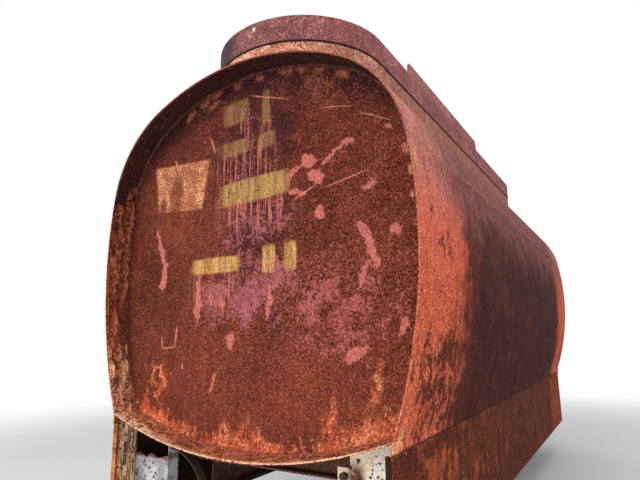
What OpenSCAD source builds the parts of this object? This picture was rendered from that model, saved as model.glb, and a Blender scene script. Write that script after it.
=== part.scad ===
// Horizontal fuel storage tank: a shell of tangent arcs with heads set back inside its rims,
// an open coaming on top, skirts along both sides and a low steel stand.
// X runs across, Y along the tank with the photographed end at -Y, Z up from the floor.

/* [Shell] */
// Length of the shell from rim to rim
tank_l = 6000; // [5600:10:7000]
// Greatest width across the shell
tank_w = 2400; // [2340:2:2440]
// Height of the shell from its lowest point to the crown
tank_h = 2460; // [2430:2:2500]
// Lowest point of the shell above the floor
tank_clear = 930; // [850:5:1100]
// Radius of the crown
crown_r = 1650; // [1600:5:1700]
// Radius of the shoulders between crown and sides
shoulder_r = 780; // [740:5:820]
// Radius of the bulging sides
side_r = 2960; // [2800:10:3200]
// Height of the widest point above the lowest point
widest_z = 1210; // [1150:5:1260]
// Height of the sharp lower corners above the lowest point
corner_z = 190; // [160:2:220]
// Height of the lower edge of the side sheets
tail_z = 130; // [100:2:150]
// Thickness of the shell sheets
shell_t = 8; // [5:0.5:12]

/* [Heads] */
// Depth of the rim in front of the edge of each head
head_setback = 178; // [120:2:240]
// Thickness of the heads
head_t = 8; // [5:0.5:12]

/* [Coaming] */
// Width of the coaming, which is also the diameter of its round ends
coaming_w = 1336; // [1200:4:1400]
// Distance of the coaming from the rims
coaming_inset = 166; // [120:2:220]
// Top of the lower wall above the crown
wall_h = 208; // [170:2:260]
// Top of the upper band above the top of the wall
band_h = 165; // [120:2:220]
// How far the band laps down over the wall
band_lap = 20; // [10:1:40]
// Thickness of the coaming plates
coaming_t = 6; // [4:0.5:10]

/* [Guard plates] */
// Distance of the front end of the guard plates from the front rim
guard_start = 1405; // [1100:5:1600]
// Length of the guard plates
guard_l = 2150; // [1500:10:2600]
// Top of the guard plates above the top of the band
guard_rise_h = 119; // [80:1:150]
// Height of the guard plates
guard_h = 320; // [300:2:340]
// Radius of the upper corners of the guard plates
guard_corner_r = 62; // [30:1:100]

/* [Rust holes] */
// Size of the hole in the left rim
rim_hole_w = 34; // [20:1:60]
// Distance of that hole from the front rim
rim_hole_inset = 42; // [30:1:80]
// Height of that hole above the widest point of the shell
rim_hole_h = 52; // [0:1:200]
// Size of the hole in the front band
band_hole_w = 46; // [30:1:60]
// Distance of that hole below the top of the band
band_hole_drop = 42; // [36:1:60]

/* [Manholes] */
// Distance of the manholes from the rims
manhole_inset = 1550; // [1300:10:1800]
// Outer diameter of the manhole necks
neck_d = 500; // [440:5:560]
// Height of the manhole necks above the crown
neck_h = 110; // [80:2:150]
// Thickness of the neck walls
neck_t = 8; // [6:0.5:12]
// How far the covers stand out past the necks
cover_edge = 40; // [25:1:60]
// Thickness of the covers
cover_t = 12; // [8:1:16]

/* [Skirts] */
// Height of the lower edge of the skirts above the floor
skirt_bottom = 384; // [330:2:440]
// Thickness of the skirts
skirt_t = 5; // [3:0.5:8]
// How far the skirts lap up behind the side sheets
skirt_lap = 34; // [20:1:50]
// Width of the return edges of the skirts
skirt_return = 36; // [25:1:50]
// Depth of the ribs inside the skirts
rib_depth = 30; // [20:1:40]
// Thickness of the ribs inside the skirts
rib_t = 6; // [4:0.5:8]
// Distance of the first rib from each end of a skirt
rib_end = 90; // [60:2:110]
// Number of ribs on each skirt
rib_count = 6; // [4:1:8]

/* [End plates] */
// Distance of the end plates from the rims
plate_setback = 190; // [170:2:240]
// Width of the end plates beside the skirts
plate_w = 320; // [280:2:360]
// Thickness of the end plates
plate_t = 6; // [4:0.5:8]
// Depth of the fold along the inner edge of the end plates
plate_fold_w = 90; // [60:2:120]
// Lower edge of the end plates above the lower edge of the skirts
plate_lift_h = 16; // [8:1:40]
// Distance of the rusted top of the left front end plate below the shell's lowest point
ragged_gap = 90; // [80:2:110]
// Height of the tongues along that rusted top
ragged_h = 14; // [8:1:16]
// Diameter of the round bar beside the right front end plate
bar_d = 42; // [34:1:48]
// Distance of the bar's axis below the shell's lowest point
bar_drop = 38; // [34:1:50]
// Clearance between the bar and the end plate beside it
bar_gap = 15; // [8:1:20]
// How far the bar stands out past the end plate
bar_out_l = 25; // [15:1:60]
// Width of the curved strap
strap_w = 60; // [50:1:70]
// Thickness of the curved strap
strap_t = 8; // [6:0.5:10]
// Outer radius of the strap's bend
strap_r = 300; // [240:5:330]
// Distance of the strap's upper end below the shell's lowest point
strap_drop = 30; // [24:1:50]
// Distance of the strap behind the face of the end plate
strap_inset = 15; // [10:1:30]

/* [Stand] */
// Distance between the middles of the two bearers
bearer_gap = 1040; // [960:10:1080]
// Height of the bearers
bearer_h = 180; // [160:2:200]
// Width of the bearers' flanges
bearer_w = 75; // [65:1:90]
// Thickness of the bearers' webs and flanges
bearer_t = 8; // [6:0.5:12]
// Depth of the cradles below the shell's lowest point
cradle_drop = 150; // [140:2:170]
// Distance of the outer cradles from the rims
cradle_inset = 550; // [500:10:800]
// Width of the saddles and feet of the cradles
cradle_w = 150; // [120:2:180]
// Thickness of the plates of the cradles
cradle_t = 12; // [8:1:16]
// Side of the square legs
leg_w = 120; // [100:2:140]
// Wall of the square legs
leg_t = 8; // [6:0.5:10]
// Side of the foot plates
foot_w = 300; // [260:5:320]
// Thickness of the foot plates
foot_t = 15; // [12:1:20]
// Diameter of the anchor holes
anchor_d = 22; // [18:1:26]
// Spacing of the anchor holes
anchor_gap = 220; // [200:5:240]
// Side of the stretchers between the end plates
stretcher_w = 80; // [60:2:100]
// Wall of the stretchers
stretcher_t = 5; // [4:0.5:8]

/* [Hidden] */
$fn = 64;
big_fn = 360;
end_y = tank_l / 2;
manhole_y = end_y - manhole_inset;
cradle_y = end_y - cradle_inset;
wall_top_z = tank_h + wall_h;
band_top_z = wall_top_z + band_h;
guard_top_z = band_top_z + guard_rise_h;

// Points where two arcs meet on the +X side, and the angle and points of an arc
function meet(c1, r1, c2, r2) =
    let (d = norm(c2 - c1), u = (c2 - c1) / d, l = (r1 ^ 2 - r2 ^ 2 + d ^ 2) / (2 * d))
    c1 + l * u + sqrt(r1 ^ 2 - l ^ 2) * [u.y, -u.x];
function angle_of(v) = atan2(v.y, v.x);
function arc(c, r, a0, a1, n) =
    [for (i = [0:n]) let (a = a0 + (a1 - a0) * i / n) c + r * [cos(a), sin(a)]];

// Centres of the section's arcs, measured from the lowest point of the shell
crown_c = [0, tank_h - crown_r];
side_c = [tank_w / 2 - side_r, widest_z];
shoulder_c = meet(crown_c, crown_r - shoulder_r, side_c, side_r - shoulder_r);
crown_a = angle_of(shoulder_c - crown_c);
side_a = angle_of(shoulder_c - side_c);
side_drop = widest_z - corner_z;
corner_x = side_c.x + sqrt(side_r ^ 2 - side_drop ^ 2);
side_in_x = side_c.x + sqrt((side_r - shell_t) ^ 2 - side_drop ^ 2);
bottom_r = (corner_x ^ 2 + corner_z ^ 2) / (2 * corner_z);
bottom_c = [0, bottom_r];

// Right half of the section's outline, moved inward by the inset
function half_outline(inset) =
    let (p = meet(side_c, side_r - inset, bottom_c, bottom_r - inset))
    concat(arc(bottom_c, bottom_r - inset, -90, angle_of(p - bottom_c), 10),
        arc(side_c, side_r - inset, angle_of(p - side_c), side_a, 16),
        arc(shoulder_c, shoulder_r - inset, side_a, crown_a, 16),
        arc(crown_c, crown_r - inset, crown_a, 90, 12));
function outline(inset) =
    let (h = half_outline(inset)) concat(h, [for (i = [len(h) - 2:-1:1]) [-h[i].x, h[i].y]]);

// Coaming, guards and manholes
wall_r = coaming_w / 2 - coaming_t;
band_r = coaming_w / 2;
round_y = end_y - coaming_inset - band_r;
guard_x = wall_r - 2 * coaming_t;

// Skirts, end plates and stand, measured from the floor
skirt_x = side_in_x;
skirt_inner = skirt_x - skirt_t;
skirt_top = tank_clear + tail_z + skirt_lap;
plate_y = end_y - plate_setback;
plate_x = skirt_inner - plate_w;
bearer_top = tank_clear - cradle_drop;
bearer_bottom = bearer_top - bearer_h;
bearer_l = 2 * cradle_y + cradle_w;
bearer_x = bearer_gap / 2;
cradle_half = plate_x;
bar_x = plate_x - bar_d / 2 - bar_gap;
bar_z = tank_clear - bar_drop;
bar_start = plate_y + bar_out_l;
web_y = cradle_y + cradle_t / 2;
strap_top = tank_clear - strap_drop;
plate_bottom = skirt_bottom + plate_lift_h;
stretcher_top = plate_bottom + stretcher_w;

// Turns a drawing of the cross-section into a length of tank centred on the middle
module along_tank(l = tank_l) {
    translate([0, 0, tank_clear]) rotate([90, 0, 0]) linear_extrude(l, center = true) children();
}

// Solids inside the crown's and the bottom's outer faces, which shape what sits on them
module crown_solid() {
    along_tank(tank_l + 200) translate(crown_c) circle(crown_r, $fn = big_fn);
}

module bottom_solid() {
    along_tank(tank_l + 200) translate(bottom_c) circle(bottom_r, $fn = big_fn);
}

// Drawing of a bent sheet between two angles of an arc
module bent_sheet(c, r, a0, a1) {
    far = r + 200;
    translate(c) intersection() {
        difference() {
            circle(r, $fn = big_fn);
            circle(r - shell_t, $fn = big_fn);
        }
        polygon([[0, 0], far * [cos(a0), sin(a0)], far * 1.3 * [cos((a0 + a1) / 2), sin((a0 + a1) / 2)],
            far * [cos(a1), sin(a1)]]);
    }
}

// Irregular hole that rust has eaten through a plate
module rust_hole(size, depth) {
    linear_extrude(depth, center = true)
        polygon([for (i = [0:8]) size * (0.34 + 0.16 * sin(i * 137)) * [cos(i * 40), 1.3 * sin(i * 40)]]);
}

module crown_sheet() {
    color("#8a4436") difference() {
        along_tank() bent_sheet(crown_c, crown_r, crown_a, 180 - crown_a);
        for (y = [-manhole_y, manhole_y])
            translate([0, y, tank_clear + crown_c.y]) cylinder(d = neck_d - 2 * neck_t, h = crown_r + 100);
    }
}

module shoulder_sheet() {
    along_tank() bent_sheet(shoulder_c, shoulder_r, side_a, crown_a);
}

module left_shoulder_sheet() {
    color("#8a4436") mirror([1, 0, 0]) shoulder_sheet();
}

module right_shoulder_sheet() {
    color("#a8503c") shoulder_sheet();
}

module side_sheet() {
    along_tank() {
        intersection() {
            bent_sheet(side_c, side_r, -60, side_a);
            translate([0, corner_z]) square([tank_w, tank_h]);
        }
        translate([side_in_x, tail_z]) square([corner_x - side_in_x, corner_z - tail_z]);
    }
}

module left_side_sheet() {
    color("#8f4a38") difference() {
        mirror([1, 0, 0]) side_sheet();
        translate([-tank_w / 2, rim_hole_inset - end_y, tank_clear + widest_z + rim_hole_h])
            rotate([0, 90, 0]) rust_hole(rim_hole_w, tank_w / 20);
    }
}

module right_side_sheet() {
    color("#b4553a") side_sheet();
}

module bottom_sheet() {
    color("#6e3a2c") along_tank() intersection() {
        translate(bottom_c) difference() {
            circle(bottom_r, $fn = big_fn);
            circle(bottom_r - shell_t, $fn = big_fn);
        }
        translate([-side_in_x, 0]) square([2 * side_in_x, corner_z + shell_t]);
    }
}

// Head at the +Y end, cut to the inside of the shell
module head() {
    translate([0, end_y - head_setback, tank_clear]) rotate([90, 0, 0])
        linear_extrude(head_t) polygon(outline(shell_t));
}

module front_head() {
    color("#6b3530") mirror([0, 1, 0]) head();
}

module rear_head() {
    color("#6b3530") head();
}

// Half ring at the +Y end, r outside, from z0 to z1 above the shell's lowest point
module round_end(r, z0, z1) {
    translate([0, round_y, tank_clear + z0]) intersection() {
        difference() {
            cylinder(r = r, h = z1 - z0, $fn = 128);
            translate([0, 0, -1]) cylinder(r = r - coaming_t, h = z1 - z0 + 2, $fn = 128);
        }
        translate([-r, 0, 0]) cube([2 * r, r, z1 - z0]);
    }
}

// Straight plate on the +X side between the round ends
module straight_side(r, z0, z1) {
    translate([r - coaming_t, -round_y, tank_clear + z0]) cube([coaming_t, 2 * round_y, z1 - z0]);
}

module coaming_wall_end() {
    difference() {
        round_end(wall_r, shoulder_c.y, wall_top_z);
        crown_solid();
    }
}

module coaming_wall_side() {
    difference() {
        straight_side(wall_r, shoulder_c.y, wall_top_z);
        crown_solid();
    }
}

module coaming_front_wall() {
    color("#c98a60") mirror([0, 1, 0]) coaming_wall_end();
}

module coaming_rear_wall() {
    color("#c98a60") coaming_wall_end();
}

module coaming_left_wall() {
    color("#b06a58") mirror([1, 0, 0]) coaming_wall_side();
}

module coaming_right_wall() {
    color("#b06a58") coaming_wall_side();
}

module coaming_front_band() {
    color("#70383a") difference() {
        mirror([0, 1, 0]) round_end(band_r, wall_top_z - band_lap, band_top_z);
        translate([0, -round_y, tank_clear + band_top_z - band_hole_drop]) rotate([0, 0, 181])
            translate([0, band_r, 0]) rotate([90, 0, 0]) rust_hole(band_hole_w, 10 * coaming_t);
    }
}

module coaming_rear_band() {
    color("#70383a") round_end(band_r, wall_top_z - band_lap, band_top_z);
}

module band_side() {
    straight_side(band_r, wall_top_z - band_lap, band_top_z);
}

module coaming_left_band() {
    color("#70383a") mirror([1, 0, 0]) band_side();
}

module coaming_right_band() {
    color("#70383a") band_side();
}

// Plate with rounded upper corners that stands against the inside of the wall
module guard_plate() {
    translate([guard_x, guard_start - end_y, tank_clear + guard_top_z - guard_h])
        rotate([90, 0, 90]) linear_extrude(coaming_t) {
            square([guard_l, guard_h - guard_corner_r]);
            translate([guard_corner_r, 0]) square([guard_l - 2 * guard_corner_r, guard_h]);
            for (y = [guard_corner_r, guard_l - guard_corner_r])
                translate([y, guard_h - guard_corner_r]) circle(guard_corner_r);
        }
}

module left_guard_plate() {
    color("#7a4038") mirror([1, 0, 0]) guard_plate();
}

module right_guard_plate() {
    color("#7a4038") guard_plate();
}

module manhole_neck(y) {
    color("#74402f") difference() {
        translate([0, y, tank_clear + tank_h - 80]) cylinder(d = neck_d, h = neck_h + 80);
        translate([0, y, tank_clear + crown_c.y]) cylinder(d = neck_d - 2 * neck_t, h = crown_r + neck_h + 1);
        crown_solid();
    }
}

module manhole_cover(y) {
    color("#6b4638") translate([0, y, tank_clear + tank_h + neck_h])
        cylinder(d = neck_d + 2 * cover_edge, h = cover_t);
}

// Skirt on the +X side with a return at both ends and along the bottom, and upright ribs
module skirt() {
    h = skirt_top - skirt_bottom;
    rib_step = (tank_l - 2 * rib_end) / (rib_count - 1);
    rib_h = tank_clear + tail_z - skirt_bottom;
    translate([skirt_inner, -end_y, skirt_bottom]) cube([skirt_t, tank_l, h]);
    for (y = [-end_y, end_y - skirt_t])
        translate([skirt_x - skirt_return, y, skirt_bottom]) cube([skirt_return, skirt_t, rib_h]);
    translate([skirt_x - skirt_return, -end_y, skirt_bottom]) cube([skirt_return, tank_l, skirt_t]);
    for (i = [0:rib_count - 1])
        translate([skirt_inner - rib_depth, rib_end + i * rib_step - end_y - rib_t / 2, skirt_bottom])
            cube([rib_depth + 1, rib_t, rib_h]);
}

module left_skirt() {
    color("#8a5238") mirror([1, 0, 0]) skirt();
}

module right_skirt() {
    color("#8a5238") skirt();
}

// End plate under the +X corner at the +Y end, its top cut to the bottom of the shell
module end_plate() {
    h = tank_clear + corner_z - plate_bottom;
    difference() {
        union() {
            translate([plate_x, plate_y - plate_t, plate_bottom]) cube([plate_w, plate_t, h]);
            translate([plate_x, plate_y - plate_fold_w, plate_bottom]) cube([plate_t, plate_fold_w, h]);
        }
        bottom_solid();
    }
}

// The face of this plate has rusted away at the top, while its fold still reaches the shell
module front_left_end_plate() {
    top = tank_clear - ragged_gap;
    high = tank_clear + 2 * corner_z;
    color("#c9c9c6") difference() {
        mirror([1, 0, 0]) mirror([0, 1, 0]) end_plate();
        translate([-skirt_inner, plate_t - plate_y, 0]) rotate([90, 0, 0]) linear_extrude(plate_t + 2)
            polygon(concat([[-1, high]], [for (i = [0:9])
                [i * (plate_w + 1) / 9, top + ragged_h * (sin(i * 97) + 0.4 * sin(i * 211))]],
                [[plate_w + 1, high]]));
    }
}

module front_right_end_plate() {
    color("#e0d6bc") {
        mirror([0, 1, 0]) end_plate();
        difference() {
            translate([bar_x - bar_d, -plate_y, bar_z - bar_d])
                cube([plate_x - bar_x + bar_d, plate_t, 2 * bar_d]);
            translate([bar_x, 1 - plate_y + plate_t, bar_z]) rotate([90, 0, 0])
                cylinder(d = bar_d, h = plate_t + 2);
        }
    }
}

module rear_left_end_plate() {
    color("#e0d6bc") mirror([1, 0, 0]) end_plate();
}

module rear_right_end_plate() {
    color("#e0d6bc") end_plate();
}

// Flat bar that bends from the fold of the left front end plate down to the stretcher
module curved_strap() {
    color("#3d3428") translate([-plate_x, strap_inset - plate_y, strap_top - strap_r]) {
        rotate([90, 0, 0]) mirror([0, 0, 1]) rotate_extrude(angle = 90, $fn = 96)
            translate([strap_r - strap_t, 0]) square([strap_t, strap_w]);
        translate([strap_r - strap_t, 0, stretcher_top - strap_top + strap_r])
            cube([strap_t, strap_w, strap_top - strap_r - stretcher_top]);
    }
}

// Round bar from in front of the right front end plate back to the front cradle
module round_bar() {
    color("#6a4a44") translate([bar_x, -web_y, bar_z]) rotate([90, 0, 0])
        cylinder(d = bar_d, h = bar_start - web_y);
}

module stretcher(side) {
    y = side * (plate_y - plate_fold_w / 2);
    l = 2 * plate_x;
    color("#4c3a30") translate([-l / 2, y - stretcher_w / 2, stretcher_top - stretcher_w])
        difference() {
            cube([l, stretcher_w, stretcher_w]);
            translate([-1, stretcher_t, stretcher_t])
                cube([l + 2, stretcher_w - 2 * stretcher_t, stretcher_w - 2 * stretcher_t]);
        }
}

// Cradle: saddle bent to the shell's bottom, web and foot
module cradle(y) {
    color("#4a332a") translate([0, y, 0]) {
        difference() {
            intersection() {
                translate([-cradle_half, -cradle_w / 2, bearer_top])
                    cube([2 * cradle_half, cradle_w, cradle_drop + corner_z]);
                translate([0, 0, tank_clear + bottom_r]) rotate([90, 0, 0])
                    cylinder(r = bottom_r + cradle_t, h = cradle_w + 2, center = true, $fn = big_fn);
            }
            translate([0, 0, tank_clear + bottom_r]) rotate([90, 0, 0])
                cylinder(r = bottom_r, h = cradle_w + 4, center = true, $fn = big_fn);
        }
        difference() {
            translate([-cradle_half, -cradle_t / 2, bearer_top])
                cube([2 * cradle_half, cradle_t, cradle_drop + corner_z]);
            translate([0, 0, tank_clear + bottom_r]) rotate([90, 0, 0])
                cylinder(r = bottom_r + cradle_t / 2, h = cradle_t + 2, center = true, $fn = big_fn);
        }
        translate([-cradle_half, -cradle_w / 2, bearer_top]) cube([2 * cradle_half, cradle_w, cradle_t]);
    }
}

// Channel on the +X side, open towards the middle
module bearer() {
    translate([bearer_x - bearer_w / 2, -bearer_l / 2, bearer_bottom]) difference() {
        cube([bearer_w, bearer_l, bearer_h]);
        translate([-1, -1, bearer_t]) cube([bearer_w - bearer_t + 1, bearer_l + 2, bearer_h - 2 * bearer_t]);
    }
}

module left_bearer() {
    color("#4a332a") mirror([1, 0, 0]) bearer();
}

module right_bearer() {
    color("#4a332a") bearer();
}

// Square hollow leg with a cap and a foot plate drilled for four anchors
module leg(x, y) {
    color("#5a4034") translate([x, y, 0]) {
        difference() {
            translate([-foot_w / 2, -foot_w / 2, 0]) cube([foot_w, foot_w, foot_t]);
            for (i = [-1, 1], j = [-1, 1])
                translate([i * anchor_gap / 2, j * anchor_gap / 2, -1]) cylinder(d = anchor_d, h = foot_t + 2);
        }
        difference() {
            translate([-leg_w / 2, -leg_w / 2, foot_t]) cube([leg_w, leg_w, bearer_bottom - foot_t]);
            translate([leg_t - leg_w / 2, leg_t - leg_w / 2, foot_t])
                cube([leg_w - 2 * leg_t, leg_w - 2 * leg_t, bearer_bottom - foot_t - leg_t]);
        }
    }
}

crown_sheet();
left_shoulder_sheet();
right_shoulder_sheet();
left_side_sheet();
right_side_sheet();
bottom_sheet();
front_head();
rear_head();
coaming_front_wall();
coaming_rear_wall();
coaming_left_wall();
coaming_right_wall();
coaming_front_band();
coaming_rear_band();
coaming_left_band();
coaming_right_band();
left_guard_plate();
right_guard_plate();
manhole_neck(-manhole_y);  // front_manhole_neck
manhole_cover(-manhole_y);  // front_manhole_cover
manhole_neck(manhole_y);  // rear_manhole_neck
manhole_cover(manhole_y);  // rear_manhole_cover
left_skirt();
right_skirt();
front_left_end_plate();
front_right_end_plate();
rear_left_end_plate();
rear_right_end_plate();
curved_strap();
round_bar();
stretcher(-1);  // front_stretcher
stretcher(1);  // rear_stretcher
cradle(-cradle_y);  // front_cradle
cradle(0);  // middle_cradle
cradle(cradle_y);  // rear_cradle
left_bearer();
right_bearer();
leg(-bearer_x, -cradle_y);  // front_left_leg
leg(bearer_x, -cradle_y);  // front_right_leg
leg(-bearer_x, 0);  // middle_left_leg
leg(bearer_x, 0);  // middle_right_leg
leg(-bearer_x, cradle_y);  // rear_left_leg
leg(bearer_x, cradle_y);  // rear_right_leg
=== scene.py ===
import math
import random

import bmesh
import bpy
from mathutils import Matrix, Vector, noise


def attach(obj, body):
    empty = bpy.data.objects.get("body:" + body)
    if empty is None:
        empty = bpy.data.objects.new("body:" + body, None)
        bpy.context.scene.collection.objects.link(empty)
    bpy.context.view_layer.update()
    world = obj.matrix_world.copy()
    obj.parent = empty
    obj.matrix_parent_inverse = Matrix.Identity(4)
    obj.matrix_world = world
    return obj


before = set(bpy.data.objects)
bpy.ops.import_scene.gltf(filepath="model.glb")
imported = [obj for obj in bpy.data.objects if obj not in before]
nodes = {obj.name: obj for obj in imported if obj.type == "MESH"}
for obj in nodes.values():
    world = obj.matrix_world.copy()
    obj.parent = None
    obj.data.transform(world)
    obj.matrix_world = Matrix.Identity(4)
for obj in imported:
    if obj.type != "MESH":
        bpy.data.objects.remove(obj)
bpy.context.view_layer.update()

# Looks for a rusted storage tank: camera, light, rust and paint finishes, welds, scale and fittings.
print("frame loaded with", len(nodes), "nodes")

# The shell's cross-section, which the welds and the scale follow
section = {
    "width": 2.4,
    "height": 2.46,
    "clear": 0.93,
    "crownRadius": 1.65,
    "shoulderRadius": 0.78,
    "sideRadius": 2.96,
    "widest": 1.21,
    "corner": 0.19,
    "sheet": 0.008,
    "rimY": 3.0,
    "headY": 2.822,
}


def meetArcs(first, firstRadius, second, secondRadius):
    gap = math.dist(first, second)
    ux, uz = (second[0] - first[0]) / gap, (second[1] - first[1]) / gap
    along = (firstRadius**2 - secondRadius**2 + gap**2) / (2 * gap)
    across = math.sqrt(firstRadius**2 - along**2)
    return (first[0] + along * ux + across * uz, first[1] + along * uz - across * ux)


def angleOf(point, middle):
    return math.atan2(point[1] - middle[1], point[0] - middle[0])


crownMiddle = (0.0, section["height"] - section["crownRadius"])
sideMiddle = (section["width"] / 2 - section["sideRadius"], section["widest"])
shoulderMiddle = meetArcs(
    crownMiddle, section["crownRadius"] - section["shoulderRadius"],
    sideMiddle, section["sideRadius"] - section["shoulderRadius"])
crownAngle = angleOf(shoulderMiddle, crownMiddle)
sideAngle = angleOf(shoulderMiddle, sideMiddle)
cornerX = sideMiddle[0] + math.sqrt(section["sideRadius"]**2 - (section["widest"] - section["corner"])**2)
bottomRadius = (cornerX**2 + section["corner"]**2) / (2 * section["corner"])
bottomMiddle = (0.0, bottomRadius)


def arcPoints(middle, radius, start, end, step):
    count = max(2, round(abs(end - start) * radius / step))
    angles = [start + (end - start) * i / count for i in range(count + 1)]
    return [(middle[0] + radius * math.cos(a), middle[1] + radius * math.sin(a) + section["clear"],
             math.cos(a), math.sin(a)) for a in angles]


def shellLoop(inset, step):
    # Points round the section with their outward directions: (x, z, out x, out z)
    side, bottom = section["sideRadius"] - inset, bottomRadius - inset
    corner = meetArcs(sideMiddle, side, bottomMiddle, bottom)
    half = arcPoints(bottomMiddle, bottom, -math.pi / 2, angleOf(corner, bottomMiddle), step)
    edge = Vector((half[-1][2], half[-1][3]))
    flank = arcPoints(sideMiddle, side, angleOf(corner, sideMiddle), sideAngle, step)
    edge = (edge + Vector((flank[0][2], flank[0][3]))).normalized()
    half[-1] = (half[-1][0], half[-1][1], edge.x, edge.y)
    half += flank[1:]
    half += arcPoints(shoulderMiddle, section["shoulderRadius"] - inset, sideAngle, crownAngle, step)[1:]
    half += arcPoints(crownMiddle, section["crownRadius"] - inset, crownAngle, math.pi / 2, step)[1:]
    return half + [(-x, z, -nx, nz) for x, z, nx, nz in reversed(half[1:-1])]


def crownHeight(x):
    return section["clear"] + crownMiddle[1] + math.sqrt(section["crownRadius"]**2 - x * x)


# Camera at the photographed place
photoCamera = {
    "place": (2.0405, -5.303, 1.621),
    "right": (0.85174, 0.52381, -0.01239),
    "up": (0.10834, -0.15293, 0.98228),
    "lens": 28.358,
    "sensor": 36.0,
}


def addCamera(given):
    data = bpy.data.cameras.new("photoCamera")
    data.lens, data.sensor_width, data.sensor_fit = given["lens"], given["sensor"], "HORIZONTAL"
    data.clip_start, data.clip_end = 0.05, 200
    right, up = Vector(given["right"]).normalized(), Vector(given["up"]).normalized()
    back = right.cross(up).normalized()
    camera = bpy.data.objects.new("photoCamera", data)
    camera.matrix_world = Matrix.Translation(given["place"]) @ Matrix((right, up, back)).transposed().to_4x4()
    bpy.context.scene.collection.objects.link(camera)
    bpy.context.scene.camera = camera


addCamera(photoCamera)
bpy.context.scene.view_settings.view_transform = "Standard"
print("camera placed")


# Node helpers: a value may be a number, a colour or another node's socket, which also tells the tree
def isSocket(value):
    return isinstance(value, bpy.types.NodeSocket)


def fill(node, given):
    for key, value in given.items():
        if isSocket(value):
            node.id_data.links.new(value, node.inputs[key])
        else:
            node.inputs[key].default_value = value
    return node.outputs


def put(kind, given=None, tree=None, **settings):
    given = given or {}
    tree = tree or next(value.id_data for value in given.values() if isSocket(value))
    node = tree.nodes.new("ShaderNode" + kind)
    for key, value in settings.items():
        setattr(node, key, value)
    return fill(node, given)


def calc(operation, *values):
    return put("Math", dict(enumerate(values)), operation=operation)[0]


def plus(first, second):
    return calc("ADD", first, second)


def minus(first, second):
    return calc("SUBTRACT", first, second)


def larger(first, second):
    return calc("MAXIMUM", first, second)


def scaled(value, factor, offset):
    return calc("MULTIPLY_ADD", value, factor, offset)


def mirrored(value):
    return calc("ABSOLUTE", value)  # the same on both sides of 0


def times(*values):
    total = values[0]
    for value in values[1:]:
        total = calc("MULTIPLY", total, value)
    return total


def move(operation, point, change):
    key = "Scale" if operation == "SCALE" else 1
    return put("VectorMath", {0: point, key: change}, operation=operation)[0]


def join(x, y, z=0.0):
    return put("CombineXYZ", {0: x, 1: y, 2: z})[0]


def fade(value, low, high):
    # 0 below low and 1 above high, smooth between; reversed if low is above high
    given = {"Value": value, "From Min": low, "From Max": high}
    return put("MapRange", given, interpolation_type="SMOOTHSTEP")[0]


def layer(factor, below, above, kind="MIX"):
    return put("Mix", {0: factor, 6: below, 7: above}, data_type="RGBA", blend_type=kind)[2]


def grainOf(point, scale, detail=3, roughness=0.6, output=0):
    given = {"Vector": point, "Scale": scale, "Detail": detail, "Roughness": roughness}
    return put("TexNoise", given)[output]


def tone(red, green, blue):
    values = [c / 255 for c in (red, green, blue)]
    return (*[c / 12.92 if c <= 0.04045 else ((c + 0.055) / 1.055) ** 2.4 for c in values], 1.0)


def over(below, coat, *masks):
    # Lays a coat, given as its shade and strength, over a colour where all the masks allow
    shade, strength = coat
    cover = times(*masks) if strength == 1 else times(*masks, strength)
    return layer(cover, below, shade if isSocket(shade) else tone(*shade))


def share(value, amount, edge):
    # 1 on about the given share of a noise's surface
    cut = scaled(amount, -0.4, 0.7)
    return fade(value, minus(cut, edge), plus(cut, edge))


def newGroup(name, build, labels, given):
    # The function that links it, its outputs, and its inputs' starting values, besides a point to draw at
    tree = bpy.data.node_groups.new(name, "ShaderNodeTree")
    tree.interface.new_socket("Point", in_out="INPUT", socket_type="NodeSocketVector")
    for label, value in given.items():
        kind = "NodeSocketColor" if isinstance(value, tuple) else "NodeSocketFloat"
        tree.interface.new_socket(label, in_out="INPUT", socket_type=kind).default_value = value
    for label in labels:
        kind = "NodeSocketColor" if label == "Color" else "NodeSocketFloat"
        tree.interface.new_socket(label, in_out="OUTPUT", socket_type=kind)
    results = build(*tree.nodes.new("NodeGroupInput").outputs[:len(given) + 1])
    fill(tree.nodes.new("NodeGroupOutput"), dict(zip(labels, results)))
    return tree


# Noise scales of the rust, in waves per metre
grains = {"broad": 2.3, "cloudy": 17, "fine": 122, "pits": 70, "speckle": 116, "bend": 90}


def grainyRust(point, scale, dark, middle, light, brightness):
    # Grainy rust of three tones with small pits
    point = move("SCALE", point, scale)
    broad = grainOf(point, grains["broad"])
    cloudy = grainOf(point, grains["cloudy"], 5, 0.65)
    fine = grainOf(point, grains["fine"], 3, 0.65)
    pits = fade(put("TexVoronoi", {"Vector": point, "Scale": grains["pits"]})["Distance"], 0.2, 0.08)
    mixed = plus(plus(times(broad, 0.45), times(cloudy, 0.55)), scaled(brightness, 0.2, -0.1))
    specks = plus(times(fine, 0.75), times(mixed, 0.25))
    colour = layer(fade(mixed, 0.36, 0.58), layer(0.55, dark, middle), middle)
    colour = layer(times(fade(specks, 0.52, 0.565), 0.85), colour, light)
    colour = layer(times(fade(specks, 0.48, 0.435), 0.85), colour, dark)
    colour = layer(times(pits, 0.5), colour, layer(0.45, dark, (0.0, 0.0, 0.0, 1.0)))
    height = minus(plus(times(cloudy, 0.6), times(fine, 0.4)), times(pits, 0.25))
    return colour, scaled(fine, 0.3, 0.66), height


def wornFilm(point, cover, grain, edge):
    # What is left of a worn paint film: specks that close up as the cover rises from 0 to 1
    detail = put("MapRange", {"Value": grain, "From Min": 20, "From Max": 90, "To Min": 6, "To Max": 3})[0]
    specks, clouds = grainOf(point, grain, detail, 0.72), grainOf(point, times(grain, 0.12))
    return share(plus(times(specks, 0.7), times(clouds, 0.3)), cover, edge),


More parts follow.
